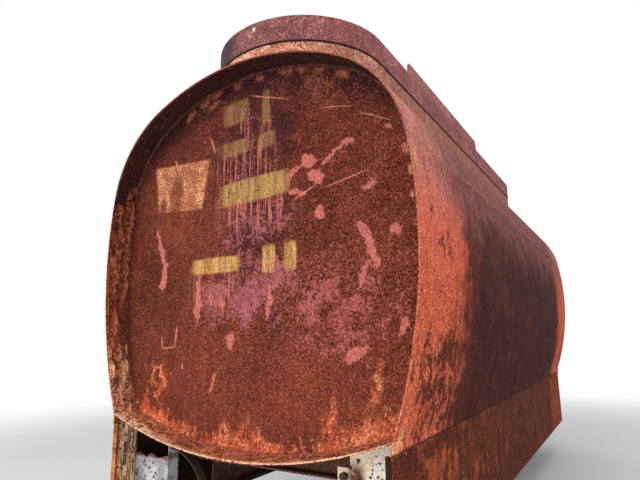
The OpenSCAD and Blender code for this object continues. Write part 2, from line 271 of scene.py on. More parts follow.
def softMark(point, middleX, middleZ, halfWidth, halfHeight, edge, rounded, lean, slope, taper):
    # One mark on a flat drawing plane: a leaning, sloping or tapering oval or rectangle with a soft edge
    x, z, _ = put("SeparateXYZ", {0: point})
    across, upward = minus(x, middleX), minus(z, middleZ)
    leaned, sloped = minus(across, times(upward, lean)), minus(upward, times(across, slope))
    v = calc("DIVIDE", sloped, halfHeight)
    u = calc("DIVIDE", leaned, times(halfWidth, larger(scaled(times(v, taper), 1, 1), 0.05)))
    u, v = mirrored(u), mirrored(v)
    square, oval = larger(u, v), calc("SQRT", plus(calc("POWER", u, 2), calc("POWER", v, 2)))
    reach = plus(square, times(minus(oval, square), rounded))
    return fade(reach, plus(1, edge), minus(1, edge)),


def fallingRuns(point, across, along, amount):
    # Streaks that run down a surface
    x, y, z = put("SeparateXYZ", {0: point})
    stretched = join(times(x, across), times(y, along), times(z, along))
    return share(grainOf(stretched, 1, 4), amount, 0.05),


def peeledChips(point, cells, amount):
    # Chips of paint or scale: a share of the cells of a broken-up pattern, and their broken edges, which the
    # finishes light up as painted highlights
    shift = move("SUBTRACT", grainOf(point, cells, output=1), (0.5,) * 3)
    pattern = {"Vector": move("ADD", point, move("SCALE", shift, calc("DIVIDE", 0.9, cells))), "Scale": cells}
    chance = put("SeparateColor", {0: put("TexVoronoi", pattern)["Color"]})[0]
    border = put("TexVoronoi", pattern, feature="DISTANCE_TO_EDGE")["Distance"]
    kept = calc("LESS_THAN", chance, amount)
    return kept, times(kept, fade(border, 0.09, 0.01))


def stainedSpots(point, spacing, size, stain):
    # Small spots of differing size with a stain round each
    bend = move("SCALE", grainOf(point, grains["bend"], output=1), 0.012)
    cell = put("TexVoronoi", {"Vector": move("ADD", point, bend), "Scale": spacing})
    far, chance = cell["Distance"], put("SeparateColor", {0: cell["Color"]})[0]
    size = times(size, calc("POWER", chance, 2))
    stained = times(fade(far, plus(size, stain), size), fade(chance, 0.45, 0.75))
    return fade(far, times(size, 1.15), times(size, 0.85)), stained


rustGroup = newGroup("rustGrain", grainyRust, ("Color", "Roughness", "Height"), {
    "Scale": 1.0, "Dark": tone(70, 32, 26), "Middle": tone(112, 52, 39), "Light": tone(156, 86, 62),
    "Brightness": 0.5})
markGroup = newGroup("paintMark", softMark, ("Mask",), {
    "Middle X": 0.0, "Middle Z": 0.0, "Half Width": 0.1, "Half Height": 0.1, "Edge": 0.08, "Round": 1.0,
    "Lean": 0.0, "Slope": 0.0, "Taper": 0.0})
filmGroup = newGroup("wornFilm", wornFilm, ("Mask",), {"Cover": 0.5, "Grain": 90.0, "Edge": 0.018})
runGroup = newGroup("rustRuns", fallingRuns, ("Mask",), {"Across": 60.0, "Along": 4.0, "Amount": 0.5})
peelGroup = newGroup("peeledChips", peeledChips, ("Mask", "Edge"), {"Cells": 30.0, "Amount": 0.5})
spotGroup = newGroup("rustSpots", stainedSpots, ("Spot", "Stain"), {
    "Spacing": 20.0, "Size": 0.2, "Stain": 0.5})


def use(group, *values):
    # Places a node group, with values for its first inputs
    return put("Group", dict(enumerate(values)), node_tree=group)


def rust(point, tones, scale=1.0, brightness=0.5):
    # Colour, roughness and height of rust in a dark, a middle and a light tone
    return use(rustGroup, point, scale, *[tone(*t) for t in tones], brightness)


def film(point, cover, grain=90, edge=0.018):
    return use(filmGroup, point, cover, grain, edge)[0]


def runs(point, across, along, amount):
    return use(runGroup, point, across, along, amount)[0]


def peel(point, cells, amount):
    return use(peelGroup, point, cells, amount)


def spots(point, spacing, size, stain):
    return use(spotGroup, point, spacing, size, stain)


def marks(flat, rows):
    # The union of several marks; a row holds as many of the mark's values as it needs
    total = use(markGroup, flat, *rows[0])[0]
    for row in rows[1:]:
        total = larger(total, use(markGroup, flat, *row)[0])
    return total


def raggedPoint(point, reach, scale):
    # The point moved about by noise, which breaks up the outline of what is drawn with it
    shift = move("SUBTRACT", grainOf(point, scale, 5, 0.7, 1), (0.5,) * 3)
    return move("ADD", point, move("SCALE", shift, reach))


def wandering(point):
    # Coordinates that wander widely, for borders that follow no straight line
    return put("SeparateXYZ", {0: raggedPoint(point, 0.7, 2.6)})


def tallPoint(point, squeeze):
    # The point with its height squeezed, so that what is drawn with it stands tall
    return move("MULTIPLY", point, (1.0, 1.0, squeeze))


def farFrom(across, upward, middle):
    # Distance on the section from an arc's middle
    dx, dz = minus(across, middle[0]), minus(upward, middle[1] + section["clear"])
    return calc("SQRT", plus(calc("POWER", dx, 2.0), calc("POWER", dz, 2.0)))


class Skin:
    # A material painted coat by coat; its look holds the rust's tones and the coats' shades and strengths
    def __init__(self, name, look, specular=0.25):
        self.material = bpy.data.materials.new(name)
        self.material.use_nodes = True
        tree = self.material.node_tree
        self.shader = tree.nodes["Principled BSDF"]
        self.shader.inputs["Specular IOR Level"].default_value = specular
        point = put("TexCoord", tree=tree)["Object"]
        self.place = (point, *put("SeparateXYZ", {0: point}))
        self.look = look
        self.colour, self.roughness, self.height = rust(point, look["rust"], *look.get("grain", ()))

    def coat(self, coat, *masks):
        given = self.look[coat] if isinstance(coat, str) else coat
        self.colour = over(self.colour, given, *masks)

    def spotted(self, *sizes):
        # Rust spots with their stains
        spot, stain = spots(self.place[0], *sizes)
        self.coat("stain", stain)
        self.coat("spot", spot)

    def lift(self, *values):
        self.height = plus(self.height, times(*values))

    def done(self, depth, speckle=0.5):
        # Lighter and darker specks over the whole surface, then the shader's own sockets
        speck = fade(grainOf(self.place[0], grains["speckle"], 2), 0.38, 0.62)
        colour = layer(1.0, self.colour, scaled(speck, 2 * speckle, 1 - speckle), "MULTIPLY")
        normal = put("Bump", {"Height": self.height, "Distance": depth, "Strength": 1.0})[0]
        fill(self.shader, {"Base Color": colour, "Roughness": self.roughness, "Normal": normal})
        return self.material


# What the photographed head shows, in metres across and up: (x, z, half width, half height, edge,
# round, lean, slope, taper). The painted words are left off; their rows stay as worn dabs.
headStory = {
    "veilUnderRows": [(0.02, 2.36, 0.33, 0.3, 0.6, 1, 0, 0, -0.2), (-0.1, 1.9, 0.42, 0.24, 0.6)],
    "veilCore": [(-0.12, 1.85, 0.33, 0.17, 0.6, 1, 0, 0.1, 0.1), (0.12, 1.95, 0.2, 0.16, 0.7)],
    "veilRight": [(0.6, 1.8, 0.52, 0.38, 0.75, 1, 0, 0.1), (0.86, 1.62, 0.24, 0.15, 0.7, 1, 0, 0.3)],
    "veilTop": [(-0.04, 2.85, 0.27, 0.34, 0.6, 0.5)],
    "darkSpecks": [(0, 2.9, 0.42, 0.5, 0.6), (0.05, 2.3, 0.34, 0.26, 0.6)],
    "blackSpecks": [(-0.1, 2.02, 0.36, 0.1, 0.7), (0, 2.42, 0.3, 0.2, 0.7), (0.2, 1.68, 0.16, 0.12, 0.7)],
    "orangeSpecks": [(0.5, 3.14, 0.5, 0.18, 0.7, 1, 0, -0.35)],
    "rows": [
        (-0.145, 3.14, 0.11, 0.08, 0.2, 0.2, 0, 0.05), (0.115, 3.12, 0.028, 0.12, 0.2, 0.2),
        (-0.14, 2.885, 0.125, 0.052, 0.2, 0.2, 0, 0.05), (0.12, 2.89, 0.06, 0.052, 0.2, 0.2, 0, 0.05),
        (0.02, 2.57, 0.275, 0.08, 0.15, 0.2, 0, 0.05)],
    "lowRows": [
        (-0.3, 2.092, 0.2, 0.052, 0.2, 0.2), (0.145, 2.1, 0.048, 0.085, 0.2, 0.2),
        (0.31, 2.105, 0.045, 0.085, 0.2, 0.2)],
    "drips": [
        (-0.05, 2.76, 0.24, 0.15, 0.4, 0), (0.12, 3, 0.04, 0.2, 0.4, 0),
        (-0.06, 3.02, 0.05, 0.12, 0.4, 0), (0, 2.42, 0.26, 0.12, 0.6, 0),
        (-0.3, 1.95, 0.2, 0.12, 0.6, 0)],
    "sign": [(-0.655, 2.69, 0.245, 0.175, 0.06, 0, 0, -0.06, 0.12)],
    "signGap": [(-0.7, 2.62, 0.06, 0.19, 0.5, 0.3, 0.05, 0, -0.1), (-0.83, 2.56, 0.03, 0.08, 0.8)],
    "rimSpots": [
        (-0.444, 3.3, 0.05, 0.03, 0.6, 1, 0, 0.3), (-0.318, 3.33, 0.045, 0.032, 0.6, 1, 0, 0.2),
        (-0.132, 3.345, 0.04, 0.03, 0.6), (0.062, 3.345, 0.035, 0.03, 0.6),
        (0.27, 3.33, 0.05, 0.03, 0.6, 1, 0, -0.2), (0.396, 3.305, 0.035, 0.03, 0.6, 1, 0, -0.2),
        (0.539, 3.27, 0.045, 0.032, 0.6, 1, 0, -0.3), (-0.58, 3.22, 0.04, 0.03, 0.6, 1, 0, 0.4),
        (-0.36, 3.25, 0.05, 0.02, 0.8, 1, 0, 0.2), (0.7, 3.18, 0.04, 0.03, 0.7, 1, 0, -0.4)],
    "signStain": [(-0.66, 2.4, 0.2, 0.2, 0.8, 1, 0, 0, 0.2)],
    "pinkMarks": [
        (0.85, 2.1, 0.03, 0.12, 0.4, 1, -0.35), (0.805, 2.21, 0.03, 0.045, 0.4, 1, -0.7),
        (0.8, 1.95, 0.02, 0.08, 0.4, 1, 0.45), (-0.83, 2.25, 0.022, 0.14, 0.4, 1, -0.35),
        (-0.79, 2.06, 0.03, 0.11, 0.4, 1, 0.15), (0.44, 2.68, 0.05, 0.04, 0.4),
        (0.62, 2.69, 0.09, 0.016, 0.5, 1, 0, 0.62), (0.72, 2.75, 0.035, 0.022, 0.5),
        (0.5, 2.57, 0.05, 0.05, 0.5, 1, -0.5, 0, 0.2), (0.33, 2.62, 0.08, 0.012, 0.6, 1, 0, 0.7),
        (0.36, 2.5, 0.06, 0.018, 0.5, 1, 0, -0.3), (0.15, 1.83, 0.018, 0.1, 0.5, 1, 0.2),
        (-0.45, 1.86, 0.024, 0.16, 0.6), (-0.23, 1.83, 0.012, 0.05, 0.5),
        (0.52, 2.35, 0.03, 0.045, 0.3, 0.5, 0, 0, -0.6), (-0.16, 1.585, 0.03, 0.05, 0.5, 1, 0, 0, 0.3),
        (1.08, 2.63, 0.025, 0.04, 0.5), (0.98, 2.78, 0.022, 0.016, 0.5),
        (0.86, 2.45, 0.04, 0.02, 0.7, 1, 0, 0.4), (1, 2.18, 0.03, 0.03, 0.6),
        (1.02, 1.66, 0.02, 0.05, 0.5), (0.75, 1.52, 0.07, 0.03, 0.7, 1, 0, 0.4)],
    "scratches": [
        (0.71, 2.52, 0.12, 0.004, 0.5, 0, 0, 0.2), (0.66, 2.98, 0.09, 0.003, 0.5, 0, 0, -0.2),
        (0.14, 3.18, 0.12, 0.004, 0.5, 0, 0, -0.35), (0.41, 2.48, 0.07, 0.004, 0.5, 0, 0, 0.42),
        (-0.645, 1.635, 0.009, 0.055, 0.4, 0.4, 0.1), (-0.71, 1.555, 0.06, 0.005, 0.5, 0, 0, 0.1),
        (-0.778, 1.59, 0.005, 0.03, 0.5, 0, -0.2), (-0.7, 2.86, 0.01, 0.04, 0.5, 0, -0.5),
        (-0.35, 2.95, 0.008, 0.05, 0.5, 0, -0.4), (0.9, 2.86, 0.09, 0.003, 0.5, 0, 0, -0.5)],
    "creamSpots": [
        (-0.805, 1.42, 0.012, 0.008, 0.5), (-0.787, 1.37, 0.008, 0.014, 0.5),
        (-0.575, 1.43, 0.01, 0.016, 0.5), (-0.73, 1.31, 0.014, 0.014, 0.6), (1.1, 2.5, 0.012, 0.03, 0.5),
        (1.105, 2.36, 0.01, 0.02, 0.5)],
    "flames": [
        (-0.88, 1.13, 0.03, 0.09, 0.6, 1, -0.6, 0, -0.3), (-0.76, 1.07, 0.06, 0.08, 0.7, 1, -0.5),
        (-0.52, 1, 0.08, 0.06, 0.7, 1, -0.2, 0, -0.4), (-0.2, 1, 0.06, 0.1, 0.7, 1, 0.2, 0, -0.4),
        (-0.05, 1, 0.07, 0.12, 0.7, 1, 0.3, 0, -0.4), (0.08, 0.98, 0.06, 0.09, 0.7, 1, 0, 0, -0.4),
        (0.57, 1.16, 0.04, 0.14, 0.6, 1, 0.2, 0, -0.4), (0.66, 1.05, 0.07, 0.08, 0.7),
        (0.8, 1.1, 0.06, 0.09, 0.7, 1, 0, 0.2), (0.9, 1.16, 0.06, 0.08, 0.7, 1, 0.2, 0.4),
        (0.86, 1.36, 0.03, 0.1, 0.8, 1, 0.3), (-0.3, 1.33, 0.012, 0.06, 0.6, 1, 0.2)],
    "corner": [(-0.82, 1.3, 0.2, 0.26, 0.8)],
}
headLook = {
    "rust": ((54, 21, 17), (94, 39, 28), (154, 80, 59)),
    "low": ((150, 74, 52), 0.24), "left": ((78, 40, 26), 0.3), "rimmed": ((36, 18, 21), 0.88),
    "runny": ((66, 30, 26), 0.22), "upper": ((56, 26, 25), 0.42), "darkSpecks": ((54, 26, 30), 0.8),
    "orangeSpecks": ((158, 86, 64), 0.55), "signStain": ((160, 84, 54), 0.3),
    "pinkGrain": ((186, 108, 106), 0.5), "blackSpecks": ((46, 24, 30), 0.8),
    "drips": ((196, 112, 96), 0.75), "lowRows": ((196, 150, 88), 0.9), "rimSpots": ((164, 92, 62), 0.8),
    "scratches": ((198, 118, 98), 0.85), "creamSpots": ((206, 140, 104), 0.7),
    "veil": ((152, 82, 92), (164, 82, 80)), "faded": ((140, 104, 64), (176, 138, 82)),
    "sign": ((152, 86, 56), (216, 158, 118)), "pinkMarks": ((160, 72, 66), (206, 124, 108)),
    "flames": ((190, 88, 56), (224, 148, 104)),
    # Where they fade in, in metres up, across, or from the middle or the edge of an arc
    "lowLevels": (1.9, 1), "leftward": (0.2, -0.9), "nearCrown": (1.36, 1.6), "crownLevels": (2.6, 3.1),
    "upperShadeLevels": (2, 3), "rightward": (0, 0.7), "rowLevels": (2.85, 2.65), "flameReach": (0.2, 0.03),
}


def between(mask, pair):
    return layer(mask, tone(*pair[0]), tone(*pair[1]))


def headFinish(name, story):
    # Both heads are dark grainy rust; the front one also carries what the photo shows
    skin = Skin(name, headLook, 0.05)
    point, x, _, z = skin.place
    flat = join(x, z)
    # Redder and lighter towards the bottom; painted shade, with some real stain, darkens the band below the
    # crown's rim, and more painted shade darkens the upper part
    look = skin.look
    skin.coat("low", fade(z, *look["lowLevels"]))
    skin.coat("left", fade(x, *look["leftward"]))
    skin.coat("rimmed", fade(farFrom(x, z, crownMiddle), *look["nearCrown"]),
              fade(z, *look["crownLevels"]), film(point, 0.8, 40))
    skin.coat("runny", runs(flat, 26, 1.6, 0.42))
    skin.coat("upper", fade(z, *look["upperShadeLevels"]), fade(grainOf(point, 2.4, 4), 0.62, 0.4))
    if story:
        tellStory(skin, story, flat)
    return skin.done(0.002, 0.32)


def tellStory(skin, story, flat):
    point, x, _, z = skin.place
    look = skin.look
    ragged = raggedPoint(raggedPoint(flat, 0.09, 9), 0.035, 45)
    soft = raggedPoint(flat, 0.55, 3.2)
    crisp = raggedPoint(flat, 0.02, 40)
    clouds = fade(grainOf(point, 9, 4, 0.62), 0.38, 0.6)
    skin.coat("darkSpecks", film(point, times(marks(soft, story["darkSpecks"]), 0.64), 66, 0.01))
    cover = larger(times(marks(soft, story["orangeSpecks"]), 0.42), 0.26)
    skin.coat("orangeSpecks", film(point, cover, 72, 0.01))
    skin.coat("signStain", marks(soft, story["signStain"]), clouds)
    # The purple and pink veil over the middle
    cover = 0.14
    for key, cloudShare, least in (("veilUnderRows", 0.24, 0.34), ("veilCore", 0.18, 0.5),
                                   ("veilRight", 0.2, 0.36)):
        cover = larger(times(marks(soft, story[key]), scaled(clouds, cloudShare, least)), cover)
    veil = film(point, larger(times(marks(soft, story["veilTop"]), 0.36), cover), 64, 0.009)
    pink = between(fade(x, *look["rightward"]), look["veil"])
    skin.coat((over(pink, look["pinkGrain"], fade(grainOf(point, 30), 0.45, 0.65)), 0.82), veil)
    skin.coat("blackSpecks", film(point, times(marks(soft, story["blackSpecks"]), 0.44), 68, 0.008))
    # The worn rows and the sign's bare place
    skin.coat("drips", marks(crisp, story["drips"]), runs(flat, 48, 2.6, 0.4), film(point, 0.6, 90))
    faded = scaled(runs(flat, 30, 3, 0.5), 0.45, 0.55)
    worn = between(fade(z, *look["rowLevels"]), look["faded"])
    skin.coat((worn, 0.85), marks(crisp, story["rows"]), film(point, 0.76, 70), faded)
    skin.coat("lowRows", marks(crisp, story["lowRows"]), film(point, 0.8, 70), faded)
    gap = scaled(marks(crisp, story["signGap"]), -0.8, 1)
    signed = times(marks(crisp, story["sign"]), gap)
    skin.coat((between(film(point, 0.42, 85), look["sign"]), 0.95), signed, film(point, 0.74, 60))
    skin.coat("rimSpots", marks(ragged, story["rimSpots"]), film(point, 0.6, 60))
    # Torn pink marks, scratches and cream spots
    torn = raggedPoint(raggedPoint(flat, 0.12, 14), 0.05, 60)
    pinked = times(fade(marks(torn, story["pinkMarks"]), 0.3, 0.55), film(point, 0.86, 60))
    skin.coat((between(grainOf(point, 50), look["pinkMarks"]), 0.9), pinked)
    skin.coat("scratches", marks(crisp, story["scratches"]), film(point, 0.76, 60))
    skin.coat("creamSpots", marks(crisp, story["creamSpots"]))
    # Orange flames along the bottom and in the left corner
    hot = between(film(point, 0.4, 70), look["flames"])
    skin.coat((hot, 0.9), marks(ragged, story["flames"]), runs(ragged, 30, 11, 0.56),
              film(point, 0.72, 60))
    beside = fade(farFrom(x, z, bottomMiddle), *[bottomRadius - reach for reach in look["flameReach"]])
    cover = larger(times(beside, 0.56), times(marks(soft, story["corner"]), 0.34))
    skin.coat((hot, 0.85), film(move("MULTIPLY", ragged, (1, 0.45, 1)), cover, 24, 0.012))
    skin.lift(larger(veil, larger(signed, pinked)), 0.25)


def innerFace(skin, middle, radius):
    # 1 on the shell's inner face beside an arc, with the left half folded onto the right
    _, x, _, z = skin.place
    edge = radius - section["sheet"] / 2
    return fade(farFrom(mirrored(x), z, middle), edge + 0.001, edge - 0.001)


def rimEdge(skin, lip=(0.012, 0.004)):
    # 1 on the last few millimetres of both rims
    return fade(mirrored(skin.place[2]), *[section["rimY"] - reach for reach in lip])


scaleLook = {
    "rust": ((40, 20, 17), (84, 40, 31), (130, 66, 46)),
    "chips": ((108, 50, 36), 0.7), "smallChips": ((150, 72, 48), 0.5), "wideRuns": ((176, 84, 52), 0.65),
    "fineRuns": ((216, 142, 100), 0.6), "edges": ((192, 122, 92), 0.45),
}


def scaly(skin, place):
    # Heavy flaking scale in browns, orange and tan where place is 1
    point, _, y, z = skin.place
    tall, upright = raggedPoint(tallPoint(point, 0.3), 0.03, 30), join(y, z)
    chips, edges = peel(tall, 30, 0.5)
    smallChips, smallHighlitEdges = peel(tall, 85, 0.4)
    brown = rust(point, scaleLook["rust"], 1.6)[0]
    brown = over(brown, scaleLook["chips"], chips)
    brown = over(brown, scaleLook["smallChips"], smallChips)
    brown = over(brown, scaleLook["wideRuns"], runs(upright, 60, 5, 0.46))
    brown = over(brown, scaleLook["fineRuns"], runs(upright, 110, 9, 0.3))
    # Painted highlights along the chips' edges
    brown = over(brown, scaleLook["edges"], larger(edges, smallHighlitEdges))
    skin.coat((brown, 1), place)
    skin.lift(place, plus(times(chips, 0.8), times(smallChips, 0.4)))


sideLook = {
    # The dark rust tones are partly painted shade along the back of the sides
    "rust": ((28, 13, 11), (52, 24, 19), (84, 41, 31)),
    "runny": ((50, 23, 19), 0.35), "clouds": ((96, 48, 36), 0.45), "step": ((112, 50, 32), 0.55),
    "orange": ((160, 64, 42), (206, 92, 62), (232, 134, 100)), "salmon": ((216, 102, 84), 0.42),
    "dark": ((104, 44, 32), 0.4), "top": ((104, 60, 60), (158, 92, 86)),
    "topScratches": ((192, 132, 126), 0.7), "topFront": ((208, 118, 102), 0.75),
    "flakes": ((48, 22, 17), (80, 35, 26), (118, 55, 40)),
    "chipped": ((66, 30, 22), 0.7), "nicks": ((58, 26, 22), 0.8), "tan": ((226, 160, 110), 0.85),
    "glow": ((222, 140, 82), 0.8), "lowSeam": ((40, 20, 16), 0.85), "pale": ((190, 104, 66), (226, 168, 122)),
    "shaded": ((26, 15, 14), 0.85), "lips": ((190, 112, 88), 1),
    # Where they fade in, in metres towards the ends and up
    "stripEnds": (1.9, 2.55), "stepEnds": (1.95, 2.65), "topEnds": (1.5, 2.5), "topFrontEnd": (-2.2, -2.75),
    "salmonLevels": (1.75, 2.2), "topLevels": (2.1, 2.5), "shoulderLevels": (2.36, 2.58),
    "flakeLevels": (1.95, 1.4), "seamLevels": (1.078, 1.064), "paleLevels": (1.7, 1.25),
    "shadeLevels": (2.2, 2.6),
    # Marks on the worn side, in metres along and up; the last is a painted highlight near the rim's front
    # edge
    "blotchMarks": [(-2.5, 1.52, 0.42, 0.13, 0.7), (-2.48, 2.11, 0.22, 0.09, 0.5, 0.5),
                    (-2.5, 1.33, 0.34, 0.09, 0.7), (-2.3, 1.22, 0.36, 0.14, 0.7),
                    (-2.7, 1.85, 0.06, 0.04, 0.7), (-2.3, 1.74, 0.2, 0.07, 0.7),
                    (-2.8, 2.3, 0.04, 0.12, 0.7)],
    "tanMarks": [(-2.95, 1.1, 0.04, 0.08, 0.5, 1, 0.4)],
    "edgeHighlightMarks": [(-2.935, 2.55, 0.02, 0.07, 0.7, 1, -0.2)],
}
shoulderLook = {
    "rust": ((66, 36, 35), (106, 60, 56), (154, 96, 88)), "front": ((206, 126, 108), 0.8),
    "darkRuns": ((98, 54, 52), 0.4), "lightRuns": ((200, 132, 122), 0.4), "frontEnds": (2.1, 2.8),
}


def shoulderTones(point, flat, endward):
    # The tones of the shoulder above the side sheets, so that the seam doesn't part two colours
    look = shoulderLook
    colour = rust(point, look["rust"], 1, 0.55)[0]
    colour = over(colour, look["front"], times(fade(endward, *look["frontEnds"]), film(point, 0.66, 40)))
    colour = over(colour, look["darkRuns"], runs(flat, 60, 3, 0.45))
    return over(colour, look["lightRuns"], runs(flat, 90, 5, 0.35))


def sideFinish(name, worn):
    # The side sheets: orange-red strip behind the front rim, dark brown further back, where the dark rust is
    # partly painted shade
    skin = Skin(name, sideLook, 0.06)
    look = skin.look
    point, _, y, z = skin.place
    flat = join(y, z)
    softY, softZ, _ = wandering(flat)
    endward = mirrored(softY)
    ragged = raggedPoint(raggedPoint(flat, 0.2, 8), 0.07, 34)
    clouds = grainOf(point, 7, 5, 0.65)
    skin.coat("runny", runs(flat, 30, 1.1, 0.5))
    skin.coat("clouds", fade(clouds, 0.46, 0.66))
    # Orange-red near the rims, which breaks up into the brown
    strip = fade(endward, *look["stripEnds"])
    skin.coat("step", fade(plus(endward, times(clouds, 0.4)), *look["stepEnds"]))
    edging = plus(strip, times(minus(clouds, 0.5), 1.2))
    edging = minus(edging, times(runs(flat, 26, 1.4, 0.32), 0.25))
    skin.coat((rust(point, look["orange"], 1, 0.6)[0], 1), fade(edging, 0.1, 0.85))
    skin.coat("salmon", strip, fade(softZ, *look["salmonLevels"]), film(point, 0.6, 14))
    skin.coat("dark", runs(ragged, 60, 3, 0.34))
    # Pinker and scratched towards the shoulder
    pinkish = between(fade(clouds, 0.4, 0.6), look["top"])
    pinkish = over(pinkish, look["topScratches"], runs(flat, 80, 3, 0.34))
    pinkish = over(pinkish, look["topFront"], fade(softY, *look["topFrontEnd"]))
    near = scaled(fade(endward, *look["topEnds"]), 0.5, 0.35)
    skin.coat((pinkish, 1), fade(softZ, *look["topLevels"]), film(point, 0.76, 26), near)
    top = plus(z, times(minus(clouds, 0.5), 0.4))
    skin.coat((shoulderTones(point, flat, endward), 0.85), fade(top, *look["shoulderLevels"]))
    # Dark flakes, small chips and nicks
    tall = tallPoint(point, 0.6)
    cover = scaled(fade(softZ, *look["flakeLevels"]), 0.13, 0.2)
    cover = plus(cover, times(marks(ragged, look["blotchMarks"]), 0.22))
    skin.coat((rust(point, look["flakes"])[0], 0.9), film(tall, cover, 17, 0.007))
    skin.coat("chipped", film(tall, plus(cover, -0.06), 60, 0.01))
    skin.coat("nicks", runs(flat, 120, 22, 0.2), strip)
    if worn:
        skin.coat("tan", marks(ragged, look["tanMarks"]))
        # A painted highlight near the front edge of the right rim
        skin.coat("glow", marks(ragged, look["edgeHighlightMarks"]))
    skin.coat("lowSeam", fade(z, *look["seamLevels"]))
    # Inside the rims: scale, pale below and in the dark above
    inside = innerFace(skin, sideMiddle, section["sideRadius"])
    scaly(skin, inside)
    tall = tallPoint(point, 0.25)
    pale = film(tall, times(fade(softZ, *look["paleLevels"]), 0.58), 30, 0.012)
    skin.coat((between(film(tall, 0.5, 60), look["pale"]), 0.9), inside, pale)
    skin.coat("shaded", inside, fade(softZ, *look["shadeLevels"]))
    skin.coat("lips", rimEdge(skin), film(point, 0.42, 40))
    return skin.done(0.002)


crownLook = {
    "rust": ((66, 36, 35), (104, 59, 55), (152, 96, 86)), "grain": (1, 0.55),
    "brown": ((98, 52, 44), 0.4), "front": ((206, 128, 110), 0.8), "darkRuns": ((96, 54, 52), 1),
    "lightRuns": ((200, 132, 122), 1), "pooled": ((84, 48, 38), 0.6), "stain": ((110, 52, 36), 0.3),
    "spot": ((50, 26, 22), 0.8), "inside": ((22, 13, 14), 0.88), "lips": ((150, 88, 70), 1),
    # In metres: towards the ends, across to the steep part, and across to the joint of two arcs
    "frontEnds": (2.1, 2.8), "steep": (0.62, 0.95), "joint": (0.73, 0.74),
}


def crownFinish(name):
    # Crown and shoulders: dusty pink-brown with runs down the slope, and painted shade, near black, on the
    # inner faces under the rims
    skin = Skin(name, crownLook, 0.1)
    point, x, y, z = skin.place
    slope, across = join(y, x, z), mirrored(x)
    skin.coat("brown", fade(grainOf(point, 2.2, 4), 0.42, 0.62))
    skin.coat("front", fade(mirrored(wandering(point)[1]), *crownLook["frontEnds"]),
              film(point, 0.66, 40))
    steep = fade(across, *crownLook["steep"])
    skin.coat("darkRuns", runs(slope, 60, 3, 0.45), scaled(steep, 0.4, 0.08))
    skin.coat("lightRuns", runs(slope, 90, 5, 0.35), scaled(steep, 0.4, 0.08))
    skin.coat("pooled", fade(steep, 0.2, 0), fade(grainOf(point, 3.1, 5, 0.65), 0.47, 0.56))
    skin.spotted(16, 0.16, 0.3)
    # The joint of the crown and shoulder arcs parts the two inner faces
    first, last = crownLook["joint"]
    inside = larger(
        times(innerFace(skin, crownMiddle, section["crownRadius"]), fade(across, last, first)),
        times(innerFace(skin, shoulderMiddle, section["shoulderRadius"]), fade(across, first, last)))
    scaly(skin, inside)
    # Painted shade on the inner faces under the rims
    skin.coat("inside", inside)
    skin.coat("lips", rimEdge(skin), film(point, 0.6, 50))
    return skin.done(0.003)


bottomLook = {
    "rust": ((48, 26, 20), (92, 48, 34), (132, 78, 54)),
    "warm": ((92, 42, 32), (142, 70, 50), (190, 108, 80)),
    "stained": ((70, 34, 26), 0.4), "flames": ((206, 112, 72), 0.85), "flecks": ((232, 158, 112), 0.7),
    "pale": ((214, 136, 104), (238, 200, 156)), "lips": ((226, 168, 138), 1),
    "wideward": (-0.3, -0.95), "paleward": (-0.35, -0.85),  # in metres across
}


def bottomFinish(name):
    # Brown outside, warm orange inside the rims
    skin = Skin(name, bottomLook)
    look = skin.look
    point, x, y, _ = skin.place
    hot = fade(innerFace(skin, bottomMiddle, bottomRadius), 0.45, 0.55)
    skin.coat((rust(point, look["warm"], 1.2, 0.55)[0], 1), hot)
    skin.coat("stained", runs(join(x, y), 30, 4, 0.4))
    # Flame-like orange patches beside the head, and a pale broken lip that widens at the left corner
    skin.coat("flames", times(hot, film(point, 0.48, 22, 0.01)))
    skin.coat("flecks", hot, film(point, 0.34, 40))
    wide = plus(scaled(fade(x, *look["wideward"]), 0.05, -2.965), 0.035)
    lipped = fade(minus(plus(y, times(grainOf(point, 18, 5, 0.7), 0.07)), wide), 0.012, -0.012)
    pale = between(fade(x, *look["paleward"]), look["pale"])
    skin.coat((pale, 0.9), hot, lipped, film(point, 0.68, 40))
    skin.coat("lips", rimEdge(skin), film(point, 0.55, 40))
    skin.lift(peel(raggedPoint(point, 0.03, 40), 40, 0.3)[0], 0.6)
    return skin.done(0.003)


wallLook = {
    "rust": ((146, 78, 56), (214, 146, 118), (240, 192, 166)), "grain": (0.95, 0.6),
    "chips": ((212, 124, 84), 0.35), "back": ((140, 84, 72), 0.7), "stain": ((150, 70, 42), 0.35),
    "spot": ((58, 28, 22), 0.85), "foot": ((96, 46, 32), 0.7), "sides": ((122, 62, 46), 0.55),
    "specks": ((158, 86, 58), 0.45), "lapped": ((16, 9, 9), 0.95),
    # Where they fade in, in metres along, across and up
    "backward": (-2.5, -1.9), "sideward": (0.2, 0.6), "footLevels": (3.42, 3.3), "lap": (3.570, 3.578),
}


def wallFinish(name):
    # Lower wall of the coaming: tan and orange, spotted, with a painted shadow line under the band's lower
    # edge
    skin = Skin(name, wallLook)
    point, x, y, z = skin.place
    skin.coat("chips", peel(point, 26, 0.35)[0])
    skin.coat("back", fade(y, *wallLook["backward"]))
    skin.spotted(24, 0.24, 0.25)
    skin.coat("foot", film(point, 0.5, 45), fade(z, *wallLook["footLevels"]))
    skin.coat("sides", fade(mirrored(x), *wallLook["sideward"]), film(point, 0.56, 18))
    skin.coat("specks", film(point, 0.36, 34))
    # Painted shadow under the overlapping band
    skin.coat("lapped", fade(plus(z, times(grainOf(point, 20), 0.016)), *wallLook["lap"]))
    return skin.done(0.002)


